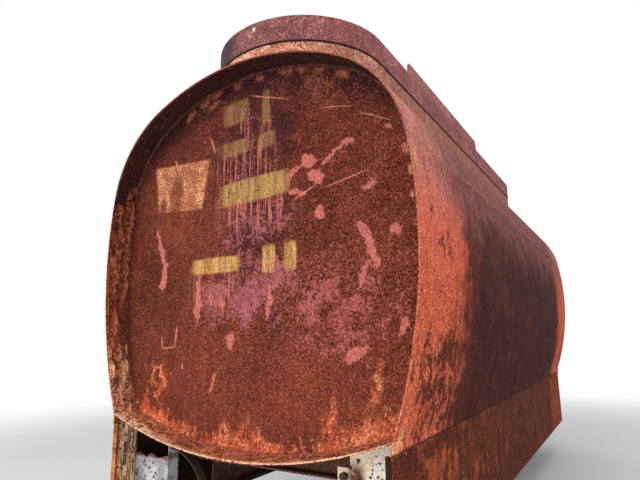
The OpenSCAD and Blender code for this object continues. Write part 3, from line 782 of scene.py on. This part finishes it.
bandLook = {
    "rust": ((100, 50, 50), (156, 92, 90), (200, 136, 132)), "grain": (0.95,),
    "red": ((140, 74, 68), 0.6), "cloudy": ((116, 58, 54), 0.55), "dull": ((88, 48, 50), 0.4),
    "runny": ((80, 44, 44), 0.12), "darkFilm": ((104, 52, 50), 0.6), "paleFilm": ((196, 138, 136), 0.5),
    "grey": ((34, 26, 31), 0.9), "holed": ((190, 128, 98), 1), "stain": ((120, 58, 44), 0.3),
    "spot": ((40, 20, 24), 0.9), "edge": ((40, 20, 20), 0.8),
    # Where they fade in, in metres across, along and up
    "rightward": (0.2, 0.6), "leftward": (0.06, -0.28), "frontward": (-1.5, -2.15), "lap": (3.590, 3.583),
    "holeMarks": [(-0.01, 3.685, 0.022, 0.03, 0.5)],  # round the rust hole
}


def bandFinish(name):
    # Upper band of the coaming: purple-brown film, painted shade in dark grey at the left of its round front,
    # dark specks, and a lower edge darkened partly as rust, partly as painted shadow
    skin = Skin(name, bandLook, 0.3)
    point, x, y, z = skin.place
    skin.coat("red", times(fade(x, *bandLook["rightward"]), film(point, 0.6, 34)))
    skin.coat("cloudy", fade(grainOf(point, 5, 6, 0.68), 0.44, 0.6))
    skin.coat("dull", film(point, 0.44, 12))
    skin.coat("runny", runs(join(z, x, y), 110, 6, 0.36))
    skin.coat("darkFilm", film(point, 0.36, 95))
    skin.coat("paleFilm", film(point, 0.3, 60))
    leftward = plus(x, times(minus(grainOf(point, 9, 5, 0.7), 0.5), 0.5))
    # Painted shade, dark grey, at the left of the round front
    skin.coat("grey", fade(leftward, *bandLook["leftward"]), fade(y, *bandLook["frontward"]),
              film(point, 0.78, 60))
    skin.coat("holed", marks(join(x, z), bandLook["holeMarks"]), film(point, 0.6, 50))
    skin.spotted(26, 0.2, 0.2)
    # The lower edge is darkened: partly rust, partly painted shadow where the band overlaps the wall
    skin.coat("edge", fade(plus(z, times(grainOf(point, 25), 0.008)), *bandLook["lap"]))
    return skin.done(0.002)


guardLook = {
    "rust": ((98, 52, 50), (156, 94, 88), (200, 138, 124)), "grain": (0.95,), "runny": ((92, 50, 48), 0.5),
    "film": ((178, 108, 100), 0.5), "stain": ((120, 60, 40), 0.4), "spot": ((52, 28, 26), 0.8),
}


def guardFinish(name):
    # Guard plates: the band's tones with runs and spots
    skin = Skin(name, guardLook)
    point, x, y, z = skin.place
    skin.coat("runny", runs(join(z, x, y), 90, 5, 0.42))
    skin.coat("film", film(point, 0.4, 30))
    skin.spotted(18, 0.2, 0.3)
    return skin.done(0.002)


seamLook = {"rust": ((92, 50, 44), (136, 78, 68), (176, 110, 96)), "near": ((174, 100, 86), 0.6),
            "nearEnds": (1.6, 2.7)}


def seamFinish(name):
    # Seam beads: like the sheets beside them, pinker near the rims
    skin = Skin(name, seamLook)
    skin.coat("near", fade(mirrored(skin.place[2]), *seamLook["nearEnds"]))
    return skin.done(0.001)


# Brown rusts with lifted chips: tones, the chips' tone, scale, bump depth and the share of chips
plainLooks = {
    "manhole": ("manholeRust", ((58, 34, 26), (108, 64, 46), (150, 96, 68)), (134, 78, 52), 1.3, 0.003, 0.3),
    "dark": ("darkSteel", ((36, 30, 24), (62, 50, 38), (90, 70, 52)), (84, 62, 44), 1.6, 0.002, 0.15),
    "stand": ("standSteel", ((48, 30, 24), (86, 56, 44), (122, 84, 64)), (112, 66, 46), 1.3, 0.003, 0.3),
    "weld": ("weldRust", ((38, 19, 16), (80, 38, 29), (132, 72, 52)), (118, 60, 42), 2.2, 0.002, 0.25),
    "headWeld": ("headWeldRust", ((30, 15, 14), (66, 31, 25), (116, 60, 44)), (98, 48, 34), 2.2, 0.002, 0.25),
    "rimPlate": ("rimPlateRust", ((70, 30, 22), (142, 62, 42), (206, 116, 82)), (186, 92, 60), 2, 0.002, 0.3),
    "scale": ("looseScale", ((60, 27, 21), (112, 50, 37), (172, 92, 66)), (146, 70, 48), 2.6, 0.002, 0.3),
    "paleScale": ("paleScale", ((140, 76, 52), (208, 136, 98), (240, 196, 154)), (222, 156, 112),
                  2.6, 0.002, 0.4),
}
plainExtras = {
    "warm": ((98, 44, 32), (146, 70, 50), (200, 112, 80)),
    "warmBelow": {"headWeld": 1.45},  # orange under this height
    "patches": {"rimPlate": (58, 27, 21), "paleScale": (112, 56, 38)},
}


def plainFinish(key):
    name, tones, chipTone, scale, depth, amount = plainLooks[key]
    skin = Skin(name, {"rust": tones, "grain": (scale,)})
    point, _, _, z = skin.place
    if key in plainExtras["warmBelow"]:
        level = plainExtras["warmBelow"][key]
        skin.coat((rust(point, plainExtras["warm"], scale)[0], 1), fade(z, level, level - 0.3))
    if key in plainExtras["patches"]:
        skin.coat((plainExtras["patches"][key], 0.85), film(tallPoint(point, 0.35), 0.52, 24, 0.01))
    chips, edges = peel(point, 45, amount)
    skin.coat((chipTone, 0.5), chips)
    # Painted highlights along the chips' edges, lighter than the chips
    skin.coat(([min(255, c + 50) for c in chipTone], 0.4), edges)
    skin.lift(chips, 0.5)
    return skin.done(depth)


skirtLook = {
    "rust": ((52, 25, 17), (82, 38, 24), (118, 58, 36)),
    "orange": ((112, 50, 30), (152, 70, 42), (192, 98, 60)),
    "darkRuns": ((58, 27, 18), 0.5), "lightRuns": ((190, 98, 58), 0.5),
    "flakes": ((46, 21, 15), (78, 34, 24), (114, 54, 37)), "chipped": ((52, 24, 17), 0.7),
    "inner": ((24, 15, 12), (44, 27, 20), (72, 44, 30)),
    "cream": ((206, 150, 106), (246, 208, 164), (255, 236, 206)),
    "brown": ((120, 58, 32), (196, 108, 58), (226, 150, 96)), "creamRuns": ((196, 116, 66), 0.8),
    "cracks": ((62, 34, 22), 0.9), "stain": ((150, 80, 40), 0.6), "spot": ((46, 24, 18), 1),
    # Where they fade in, in metres towards the ends, across and along
    "orangeEnds": (1.6, 2.5), "face": (1.0072, 1.0062), "banded": (-2.945, -2.965), "front": (-2.8, -2.825),
    # Dark marks outside, in metres along and up
    "darkMarks": [(-2.78, 0.96, 0.18, 0.09, 0.5, 0.5), (-2.45, 0.7, 0.2, 0.1, 0.7),
                  (-2.3, 1, 0.3, 0.06, 0.7)],
}


def skirtFinish(name, bands):
    # Skirts: orange-brown outside with dark patches, and the front of the left one banded in cream inside
    skin = Skin(name, skirtLook, 0.06)
    look = skin.look
    point, x, y, z = skin.place
    flat = join(y, z)
    ragged = raggedPoint(raggedPoint(flat, 0.3, 6), 0.08, 30)
    clouds = grainOf(point, 7, 5, 0.65)
    edging = plus(fade(mirrored(wandering(flat)[0]), *look["orangeEnds"]), times(minus(clouds, 0.5), 1.8))
    skin.coat((rust(point, look["orange"], 1, 0.55)[0], 1), fade(edging, 0.2, 0.8))
    skin.coat("darkRuns", runs(ragged, 34, 2.5, 0.4))
    skin.coat("lightRuns", runs(ragged, 50, 5, 0.34))
    tall, cover = tallPoint(point, 0.6), scaled(marks(ragged, look["darkMarks"]), 0.3, 0.44)
    skin.coat((rust(point, look["flakes"])[0], 0.9), film(tall, cover, 15, 0.007))
    skin.coat("chipped", film(tall, 0.34, 55, 0.01))
    # The inner faces are dark rust behind the end plates, partly painted shade
    inward = fade(mirrored(x), *look["face"])
    skin.coat((rust(point, look["inner"])[0], 1), inward)
    if bands:
        cream = rust(point, look["cream"], 1.4, 0.6)[0]
        brown = rust(point, look["brown"], 1.4)[0]
        inner = layer(fade(y, *look["banded"]), cream, brown)
        inner = over(inner, look["creamRuns"], runs(flat, 90, 5, 0.36))
        inner = over(inner, look["cracks"], runs(raggedPoint(flat, 0.012, 30), 110, 7, 0.42))
        spot, stain = spots(point, 40, 0.3, 0.3)
        inner = over(over(inner, look["stain"], stain), look["spot"], spot)
        skin.coat((inner, 1), inward, fade(y, *look["front"]))
    return skin.done(0.003)


# Pale paints: their three shades, the spots' spacing, size and stain, and the bare patches
paintLooks = {
    "rust": ((40, 22, 18), (96, 52, 36), (150, 88, 56)), "grain": (1.6,),
    "stain": ((196, 136, 92), 0.35), "fine": ((96, 62, 48), 0.8), "spot": ((34, 20, 18), 1),
    "grey": (((150, 150, 156), (196, 198, 204), (128, 118, 116)), (48, 0.3, 0.15),
             [(-0.85, 0.845, 0.2, 0.018, 0.5, 0)]),
    "cream": (((240, 232, 220), (250, 224, 190), (226, 176, 130)), (34, 0.3, 0.2),
              [(0.72, 0.86, 0.05, 0.1, 0.5, 0.6), (-0.72, 0.6, 0.04, 0.1, 0.5, 0.6)]),
}


def paintFinish(key):
    # Old pale paint with specks, rust stains and bare patches
    paints, specks, patches = paintLooks[key]
    skin = Skin(key + "Paint", paintLooks, 0.35)
    point, x, _, z = skin.place
    under = skin.colour
    skin.colour = between(fade(grainOf(point, 7, 4), 0.42, 0.6), paints)
    skin.coat((paints[2], 0.35), film(point, 0.4, 60))
    spot, stain = spots(point, *specks)
    skin.coat("stain", stain)
    skin.coat("fine", film(point, 0.3, 110, 0.012))
    skin.coat("spot", spot)
    patched = times(marks(raggedPoint(join(x, z), 0.05, 20), patches), film(point, 0.8, 50))
    bare = larger(peel(raggedPoint(point, 0.02, 60), 60, 0.05)[0], patched)
    skin.coat((under, 1), bare)
    skin.roughness = layer(bare, (0.6, 0.6, 0.6, 1), (0.9, 0.9, 0.9, 1))
    skin.height = minus(times(skin.height, 0.4), times(bare, 0.6))
    return skin.done(0.002, 0.16)


finishes = {
    "front_head": headFinish("headRustFront", headStory), "rear_head": headFinish("headRustRear", None),
    "crown": crownFinish("crownRust"), "bottom": bottomFinish("bottomRust"),
    "right_side": sideFinish("rightSideRust", True), "left_side": sideFinish("leftSideRust", False),
    "wall": wallFinish("coamingWallRust"), "band": bandFinish("coamingBandRust"),
    "guard": guardFinish("guardPlateRust"), "seam": seamFinish("seamRust"),
    "left_skirt": skirtFinish("leftSkirtRust", True), "right_skirt": skirtFinish("rightSkirtRust", False),
    "grey": paintFinish("grey"), "cream": paintFinish("cream"),
    **{key: plainFinish(key) for key in plainLooks},
}
# A node's finish: its own, or else the one for the end of its name
nodeFinish = {
    "front_head": "front_head", "rear_head": "rear_head", "left_side_sheet": "left_side",
    "right_side_sheet": "right_side", "bottom_sheet": "bottom", "left_skirt": "left_skirt",
    "right_skirt": "right_skirt", "front_left_end_plate": "grey", "curved_strap": "dark",
    "round_bar": "dark",
}
endings = (
    ("wall", "wall"), ("band", "band"), ("guard_plate", "guard"), ("neck", "manhole"), ("cover", "manhole"),
    ("end_plate", "cream"), ("shoulder_sheet", "crown"), ("crown_sheet", "crown"),
)


def dressNodes():
    for name, node in nodes.items():
        key = nodeFinish.get(name) or next((k for end, k in endings if name.endswith(end)), "stand")
        if not node.material_slots:
            node.data.materials.append(finishes[key])
        for slot in node.material_slots:
            slot.material = finishes[key]


dressNodes()
print("finishes made:", len(finishes))


# Mesh helpers: a shape is a list of points and a list of faces
def newPiece(name, shape, finish, smooth=True):
    mesh = bpy.data.meshes.new(name)
    mesh.from_pydata([tuple(p) for p in shape[0]], [], shape[1])
    work = bmesh.new()
    work.from_mesh(mesh)
    bmesh.ops.recalc_face_normals(work, faces=work.faces)
    work.to_mesh(mesh)
    work.free()
    for face in mesh.polygons:
        face.use_smooth = smooth
    mesh.materials.append(finishes[finish])
    piece = bpy.data.objects.new(name, mesh)
    bpy.context.scene.collection.objects.link(piece)
    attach(piece, "root")


def joinRings(faces, start, rings, size, closed=False):
    # Faces between rings of points that follow each other, with both ends shut unless the row is closed
    for i in range(rings if closed else rings - 1):
        j = (i + 1) % rings
        for k in range(size):
            m = (k + 1) % size
            corners = ((i, k), (i, m), (j, m), (j, k))
            faces.append(tuple(start + ring * size + turn for ring, turn in corners))
    if not closed:
        for ring in (0, rings - 1):
            faces.append(tuple(start + ring * size + k for k in range(size)))


def sweep(shape, path, ringOf, closed=False):
    # Runs a ring along a path of (place, first direction, second direction)
    points, faces = shape
    start = len(points)
    for i, (place, first, second) in enumerate(path):
        ring = ringOf(i, place)
        points.extend(place + first * u + second * v for u, v in ring)
    joinRings(faces, start, len(path), len(ring), closed)


def sweepPiece(name, path, ringOf, finish, closed=True):
    shape = ([], [])
    sweep(shape, path, ringOf, closed)
    newPiece(name, shape, finish)


def turned(angle):
    return Vector((math.cos(angle), math.sin(angle), 0))


along, up = Vector((0, 1, 0)), Vector((0, 0, 1))
welds = {
    "head": 0.015, "foot": 0.012, "neck": 0.011, "guard": 0.009,  # widths of the fillets
    "step": 0.014, "sink": 0.0015, "ripple": 0.14, "wave": 0.3, "rough": 0.2,
    "seamHalf": 0.008, "seamRise": 0.0016, "seamEnd": 2.985, "seamRows": 420,
    "stitchStep": 0.28, "stitchRow": 0.008, "stitchRows": 8, "stitchEnd": 0.1,
}


def filletRing(width):
    # A rippled fillet weld in the corner between the two directions
    def ring(i, place):
        uneven = welds["wave"] * noise.noise(place * 11) + welds["rough"] * noise.noise(place * 60)
        w, e = width * (1 + welds["ripple"] * math.sin(i * 2.3) + uneven), welds["sink"]
        return [(-e, -e), (w, -e), (0.74 * w, 0.36 * w), (0.36 * w, 0.74 * w), (-e, w)]
    return ring


def headWeld(name, side):
    path = [(Vector((x, side * section["headY"], z)), Vector((-nx, 0, -nz)), along * side)
            for x, z, nx, nz in shellLoop(section["sheet"], welds["step"])]
    sweepPiece(name, path, filletRing(welds["head"]), "headWeld")


headWeld("front_head_weld", -1)
headWeld("rear_head_weld", 1)


def seamRing(seed):
    # A low, wide bead that wanders in width and height
    def ring(i, spot):
        w = welds["seamHalf"] * (1 + 0.25 * noise.noise(spot * 7 + Vector((seed, 0, 0))))
        h = welds["seamRise"] * (1 + 0.3 * math.sin(i * 2.6) + 0.4 * noise.noise(spot * 30))
        e = welds["sink"]
        return [(-w, -e), (w, -e), (0.8 * w, 0.4 * h), (0.3 * w, h), (-0.4 * w, h), (-0.8 * w, 0.4 * h)]
    return ring


def seamWelds():
    # Lengthwise beads over the joints of the crown, shoulder and side sheets
    shape = ([], [])
    end, count = welds["seamEnd"], welds["seamRows"]
    for middle, radius, angle in ((crownMiddle, section["crownRadius"], crownAngle),
                                  (sideMiddle, section["sideRadius"], sideAngle)):
        for side in (-1, 1):
            out = Vector((side * math.cos(angle), 0, math.sin(angle)))
            place = Vector((side * (middle[0] + radius * math.cos(angle)), 0,
                            middle[1] + radius * math.sin(angle) + section["clear"]))
            rows = [place + along * (2 * end * i / count - end) for i in range(count + 1)]
            sweep(shape, [(row, along.cross(out), out) for row in rows], seamRing(side * 3.1 + radius))
    newPiece("seam_welds", shape, "seam")


seamWelds()

coaming = {"wallRadius": 0.662, "roundY": 2.166, "bandTop": 3.763, "guardX": 0.656, "guardStart": -1.595,
           "guardEnd": 0.555}


def coamingPath(radius, step):
    # Round the coaming on the crown: place, outward along the crown, up
    places = []
    straight = 2 * coaming["roundY"]
    count, rows = round(math.pi * radius / step), round(straight / step)
    for side, start in ((1, 0.0), (-1, math.pi)):
        for i in range(count):
            a = start + math.pi * i / count
            places.append((radius * math.cos(a), side * coaming["roundY"] + radius * math.sin(a), a))
        for i in range(rows):
            y = side * (coaming["roundY"] - straight * i / rows)
            places.append((-side * radius, y, start + math.pi))
    path = []
    for x, y, a in places:
        out = turned(a)
        rise = -x / math.sqrt(section["crownRadius"]**2 - x * x) * out.x
        path.append((Vector((x, y, crownHeight(x))), Vector((out.x, out.y, rise)).normalized(), up))
    return path


def coamingWelds():
    path = coamingPath(coaming["wallRadius"], 0.02)
    sweepPiece("coaming_foot_weld", path, filletRing(welds["foot"]), "weld")
    # Short stitch welds between the guard plates and the top of the band
    shape = ([], [])
    for side in (-1, 1):
        y = coaming["guardStart"] + welds["stitchEnd"]
        while y < coaming["guardEnd"] - welds["stitchEnd"]:
            path = [(Vector((side * coaming["guardX"], y + welds["stitchRow"] * i, coaming["bandTop"])),
                     Vector((side, 0, 0)), up) for i in range(welds["stitchRows"])]
            sweep(shape, path, filletRing(welds["guard"]))
            y += welds["stitchStep"]
    newPiece("guard_plate_welds", shape, "weld")


coamingWelds()

manhole = {
    "y": 1.45, "neckRadius": 0.25, "neckSteps": 96, "coverTop": 3.512, "bolts": 12, "boltCircle": 0.272,
    "boltSize": 0.012, "boltRise": 0.011, "handleWidth": 0.16, "handleRise": 0.055, "handleBend": 0.022,
    "handleFoot": -0.002, "rod": 0.007,
}


def addBolt(shape, place, across, size, height):
    # A hexagon head on a round washer: radius, bottom, top, corners and how far the top narrows
    points, faces = shape
    second = up.cross(across)
    washer, head = (size * 1.25, -0.001, 0.0025, 16, 1), (size, 0.002, height, 6, 0.86)
    for radius, low, high, count, chamfer in (washer, head):
        start = len(points)
        for ringRadius, rise in ((radius, low), (radius, high - radius * 0.1), (radius * chamfer, high)):
            for k in range(count):
                a = 2 * math.pi * k / count
                points.append(place + up * rise + (across * math.cos(a) + second * math.sin(a)) * ringRadius)
        joinRings(faces, start, 3, count)


def roundRing(radius, count=8):
    angles = [2 * math.pi * k / count for k in range(count)]
    return lambda i, place: [(radius * math.cos(a), radius * math.sin(a)) for a in angles]


def handlePath(half):
    # A bent rod on the cover: up, round a bend, across, round the other bend and down
    rise, bend, foot = manhole["handleRise"], manhole["handleBend"], manhole["handleFoot"]
    path = [(Vector((-half, 0, foot)), Vector((1, 0, 0)))]
    for side in (-1, 1):
        for i in range(7):
            a = math.pi / 2 * (i / 6 if side < 0 else 1 - i / 6)
            reach = half - bend + bend * math.cos(a)
            path.append((Vector((side * reach, 0, rise - bend + bend * math.sin(a))),
                         Vector((-side * math.cos(a), 0, -math.sin(a)))))
    return path + [(Vector((half, 0, foot)), Vector((-1, 0, 0)))]


def manholeFittings():
    for name, side in (("front", -1), ("rear", 1)):
        middle = Vector((0, side * manhole["y"], manhole["coverTop"]))
        shape = ([], [])
        for i in range(manhole["bolts"]):
            a = 2 * math.pi * (i + 0.5) / manhole["bolts"]
            place = middle + turned(a) * manhole["boltCircle"]
            addBolt(shape, place, turned(a * 3), manhole["boltSize"], manhole["boltRise"])
        newPiece(name + "_manhole_bolts", shape, "manhole", smooth=False)
        path = [(middle + place, across, along) for place, across in handlePath(manhole["handleWidth"] / 2)]
        sweepPiece(name + "_manhole_handle", path, roundRing(manhole["rod"]), "manhole",
                   closed=False)
        # Weld round the neck where it stands on the crown
        path = []
        for i in range(manhole["neckSteps"]):
            a = 2 * math.pi * i / manhole["neckSteps"]
            x = manhole["neckRadius"] * math.cos(a)
            y = side * manhole["y"] + manhole["neckRadius"] * math.sin(a)
            path.append((Vector((x, y, crownHeight(x))), turned(a), up))
        sweepPiece(name + "_manhole_weld", path, filletRing(welds["neck"]), "weld")


manholeFittings()
print("welds and fittings made")


# Loose scale: the spacing of its places round the section, the gaps to the rim's edge, the smallest size,
# and the form of one flake
flakes = {
    "step": 0.01, "gap": 0.001, "rimGap": 0.004, "least": 0.003, "corners": (6, 9), "uneven": 0.3,
    "reach": (0.55, 1.0), "thick": (0.0008, 0.0018), "seat": 0.0004, "middleRise": 0.2, "sunk": 0.0006,
    "taper": 0.97, "under": 0.001,
}


# Thin ragged plates that curl away from the sheet
def addFlake(shape, rng, place, normal, first, size, lift):
    points, faces = shape
    second = normal.cross(first)
    count = rng.randint(*flakes["corners"])
    curl = rng.uniform(0, 2 * math.pi)
    thick = rng.uniform(*flakes["thick"])
    start = len(points)
    ring = []
    for k in range(count):
        a = 2 * math.pi * (k + rng.uniform(-flakes["uneven"], flakes["uneven"])) / count
        r = size * rng.uniform(*flakes["reach"])
        rise = lift * max(0.0, math.cos(a - curl)) + flakes["seat"]
        ring.append((first * math.cos(a) * r + second * math.sin(a) * r, rise))
    points += [place + normal * (lift * flakes["middleRise"] + thick), place - normal * flakes["sunk"]]
    points += [place + offset + normal * (rise + thick) for offset, rise in ring]
    points += [place + offset * flakes["taper"] + normal * (rise - flakes["under"]) for offset, rise in ring]
    for k in range(count):
        m = (k + 1) % count
        top, under = start + 2, start + 2 + count
        faces.append((start, top + k, top + m))
        faces.append((start + 1, under + m, under + k))
        faces.append((top + k, under + k, under + m, top + m))


def scatter(name, seed, number, spotOf, lift, finish):
    # Flakes where spotOf draws them: place, outward and first direction, size
    rng, shape = random.Random(seed), ([], [])
    for _ in range(number):
        place, normal, first, size = spotOf(rng)
        if size >= flakes["least"]:
            addFlake(shape, rng, place, normal, first, size, lift * rng.uniform(0.3, 1))
    newPiece(name, shape, finish, smooth=False)


def rimScale(name, side, seed, number, chosen, sizes, lift, finish, deep=(0.0, 0.17)):
    # Scale on the inner face of a rim, on the part of the section that chosen accepts
    places = [p for p in shellLoop(section["sheet"], flakes["step"]) if chosen(p[0], p[1])]

    def spotOf(rng):
        x, z, nx, nz = rng.choice(places)
        y = side * (section["rimY"] - flakes["rimGap"] - rng.uniform(*deep))
        size = rng.uniform(*sizes) * rng.uniform(0.6, 1.0)
        size = min(size, section["rimY"] - flakes["gap"] - abs(y))
        return Vector((x, y, z)), Vector((-nx, 0, -nz)), along, size

    scatter(name, seed, number, spotOf, lift, finish)


def edgeScale(name, seed, number, chosen, sizes, lift, finish):
    # Torn scale that hangs off the outer face of the front rim beside its edge
    places = [p for p in shellLoop(0.0, flakes["step"]) if chosen(p[0], p[1])]

    def spotOf(rng):
        x, z, nx, nz = rng.choice(places)
        size = rng.uniform(*sizes)
        return Vector((x, size + flakes["gap"] - section["rimY"], z)), Vector((nx, 0, nz)), along, size

    scatter(name, seed, number, spotOf, lift, finish)


headEdge = {"seed": 21, "number": 40, "from": 2.2, "to": 2.75, "x": 1.155, "spread": 0.035, "bendZ": 2.5,
            "lean": 0.25, "sizes": (0.006, 0.02), "lift": 0.006}


def headScale(name, edge):
    # Scale on the head beside the right rim
    def spotOf(rng):
        z = rng.uniform(edge["from"], edge["to"])
        x = edge["x"] - edge["spread"] * rng.random() - max(0, (z - edge["bendZ"])) * edge["lean"]
        return Vector((x, -section["headY"], z)), -along, Vector((1, 0, 0)), rng.uniform(*edge["sizes"])

    scatter(name, edge["seed"], edge["number"], spotOf, edge["lift"], "scale")


plate = {"step": 0.012, "middles": (2.85, 2.985), "thick": 0.0012, "back": 0.0006, "columns": 4,
         "leastY": -2.9985, "mostY": -2.826, "lowest": 0.0002, "over": 0.1}


def plateRing(shift, spot, middle, half, bend, turn):
    # One ring across a plate: along its face and back along its underside
    x, z, nx, nz = spot
    before, after = [half * (1 + 0.7 * noise.noise(shift + Vector((side, z * 22, 3)))) for side in (0, 9)]
    face, under = [], []
    for k in range(plate["columns"] + 1):
        u = k / plate["columns"]
        y = min(plate["mostY"], max(plate["leastY"], middle - before + (before + after) * u))
        rise = plate["thick"] + bend * (u if turn else 1 - u)**2
        rise = max(rise + 0.002 * noise.noise(shift + Vector((y * 40, z * 18, 0))), plate["lowest"])
        base, inward = Vector((x, y, z)), Vector((-nx, 0, -nz))
        face.append(base + inward * (rise + plate["thick"]))
        under.append(base + inward * (rise - plate["back"]))
    return face + under[::-1]


def rimPlates(name, seed, number, low, high, lengths, widths, lift, finish):
    # Larger sheets of scale that peel off the inner face of the left rim, long up and down
    rng, shape = random.Random(seed), ([], [])
    loop = [p for p in shellLoop(section["sheet"], plate["step"]) if p[0] < 0]
    starts = [i for i, p in enumerate(loop) if low < p[1] < high]
    for _ in range(number):
        count = max(3, round(rng.uniform(*lengths) / plate["step"]))
        first = rng.choice(starts)
        middle, half = -rng.uniform(*plate["middles"]), rng.uniform(*widths) / 2
        curl, turn = lift * rng.uniform(0.25, 1.0), rng.random() < 0.6
        shift = Vector((rng.uniform(0, 50), rng.uniform(0, 50), 0))
        rings = []
        for j, spot in enumerate(loop[first:first + count + 1]):
            if spot[1] > high + plate["over"]:
                break
            part = j / count
            narrow = half * (0.25 + 0.75 * math.sin(math.pi * min(0.96, max(0.04, part)))**0.5)
            bend = curl * (0.35 + 0.65 * math.sin(math.pi * part))
            rings.append(plateRing(shift, spot, middle, narrow, bend, turn))
        if len(rings) > 2:
            start = len(shape[0])
            shape[0].extend(point for ring in rings for point in ring)
            joinRings(shape[1], start, len(rings), len(rings[0]))
    newPiece(name, shape, finish, smooth=False)


# Name, seed, number, lowest and highest start, lengths, widths, lift and finish
rimPlates("left_rim_plates", 31, 34, 1.55, 2.7, (0.08, 0.3), (0.025, 0.065), 0.026, "rimPlate")
rimPlates("left_rim_pale_plates", 32, 26, 1.13, 1.6, (0.05, 0.18), (0.02, 0.05), 0.018, "paleScale")
# Name, side, seed, number, where on the section, sizes, lift, finish and depths from the edge
rimScale("left_rim_scale", -1, 11, 260, lambda x, z: x < -0.9 and 1.13 < z < 2.6, (0.008, 0.03), 0.007,
         "scale")
rimScale("left_rim_pale_scale", -1, 12, 90, lambda x, z: x < -0.9 and 1.12 < z < 1.55, (0.006, 0.022), 0.006,
         "paleScale")
rimScale("left_corner_scale", -1, 20, 150, lambda x, z: x < -0.9 and 1.5 < z < 2.75, (0.014, 0.04), 0.016,
         "scale", (0.1, 0.165))
rimScale("bottom_rim_scale", -1, 13, 220, lambda x, z: z < 1.13 and abs(x) < 1.0, (0.006, 0.026), 0.006,
         "scale")
rimScale("bottom_rim_pale_scale", -1, 14, 130, lambda x, z: z < 1.12 and (x < -0.55 or 0.4 < x < 1.0),
         (0.006, 0.02), 0.005, "paleScale")
rimScale("right_rim_scale", -1, 15, 90, lambda x, z: x > 0.9 and 1.13 < z < 2.8, (0.006, 0.02), 0.005,
         "scale")
rimScale("top_rim_scale", -1, 16, 70, lambda x, z: z > 3.0, (0.008, 0.022), 0.005, "weld")
rimScale("rear_rim_scale", 1, 17, 300, lambda x, z: True, (0.006, 0.024), 0.006, "scale")
edgeScale("bottom_edge_scale", 18, 150, lambda x, z: z < 1.0 and abs(x) < 0.95, (0.005, 0.016), 0.007,
          "scale")
edgeScale("bottom_pale_edge_scale", 19, 70, lambda x, z: z < 1.08 and x < 0.2, (0.005, 0.013), 0.006,
          "paleScale")
headScale("head_edge_scale", headEdge)
print("loose scale made")

sky = {"colour": (0.95, 0.97, 1.0, 1.0), "strength": 0.62}
# Name, place, aim, width, depth and power
lamps = (
    ("softFront", (-2.5, -8.5, 5.0), (0.0, -2.5, 1.8), 5.0, 5.0, 315.0),
    ("softLow", (0.0, -5.5, 0.9), (0.0, -2.8, 0.9), 4.0, 1.4, 28.0),
    ("softRight", (8.0, -4.0, 5.0), (0.0, -1.0, 1.8), 5.0, 5.0, 230.0),
    ("softTop", (0.5, 0.0, 9.0), (0.0, 0.0, 2.0), 7.0, 7.0, 220.0),
)
ground = {"half": 60.0, "z": -0.001, "shades": ((0.74, 0.74, 0.73, 1), (0.8, 0.8, 0.79, 1)),
          "whiteFrom": (5.0, 11.0)}


def addLights():
    scene = bpy.context.scene
    scene.world = bpy.data.worlds.new("paleSky")
    scene.world.use_nodes = True
    tree = scene.world.node_tree
    tree.nodes.clear()
    path = put("LightPath", tree=tree)
    seen = larger(path["Is Camera Ray"], larger(path["Is Glossy Ray"], path["Is Transmission Ray"]))
    pale = put("Background", {"Color": sky["colour"], "Strength": sky["strength"]}, tree)[0]
    white = put("Background", {"Color": (1.0, 1.0, 1.0, 1.0), "Strength": 1.0}, tree)[0]
    put("OutputWorld", {"Surface": put("MixShader", {0: seen, 1: pale, 2: white})[0]})
    for name, place, aim, width, depth, power in lamps:
        data = bpy.data.lights.new(name, "AREA")
        data.shape, data.size, data.size_y, data.energy = "RECTANGLE", width, depth, power
        lamp = bpy.data.objects.new(name, data)
        lamp.location = place
        lamp.rotation_euler = (Vector(aim) - Vector(place)).to_track_quat("-Z", "Y").to_euler()
        scene.collection.objects.link(lamp)


def addFloor():
    material = bpy.data.materials.new("paleFloor")
    material.use_nodes = True
    tree = material.node_tree
    shader = tree.nodes["Principled BSDF"]
    point = put("TexCoord", tree=tree)["Object"]
    shade = layer(grainOf(point, 3, 4), *ground["shades"])
    fill(shader, {"Base Color": shade, "Roughness": 0.9, "Specular IOR Level": 0.1})
    far = put("VectorMath", {0: point}, operation="LENGTH")["Value"]
    away = times(fade(far, *ground["whiteFrom"]), put("LightPath", tree=tree)["Is Camera Ray"])
    white = put("Emission", {"Color": (1, 1, 1, 1), "Strength": 1.0}, tree)[0]
    mixed = put("MixShader", {0: away, 1: shader.outputs[0], 2: white})[0]
    fill(tree.nodes["Material Output"], {"Surface": mixed})
    mesh = bpy.data.meshes.new("floor")
    r = ground["half"]
    mesh.from_pydata([(-r, -r, 0), (r, -r, 0), (r, r, 0), (-r, r, 0)], [], [(0, 1, 2, 3)])
    mesh.materials.append(material)
    floor = bpy.data.objects.new("floor", mesh)
    floor.location.z = ground["z"]
    bpy.context.scene.collection.objects.link(floor)


addLights()
addFloor()
print("light and floor made")
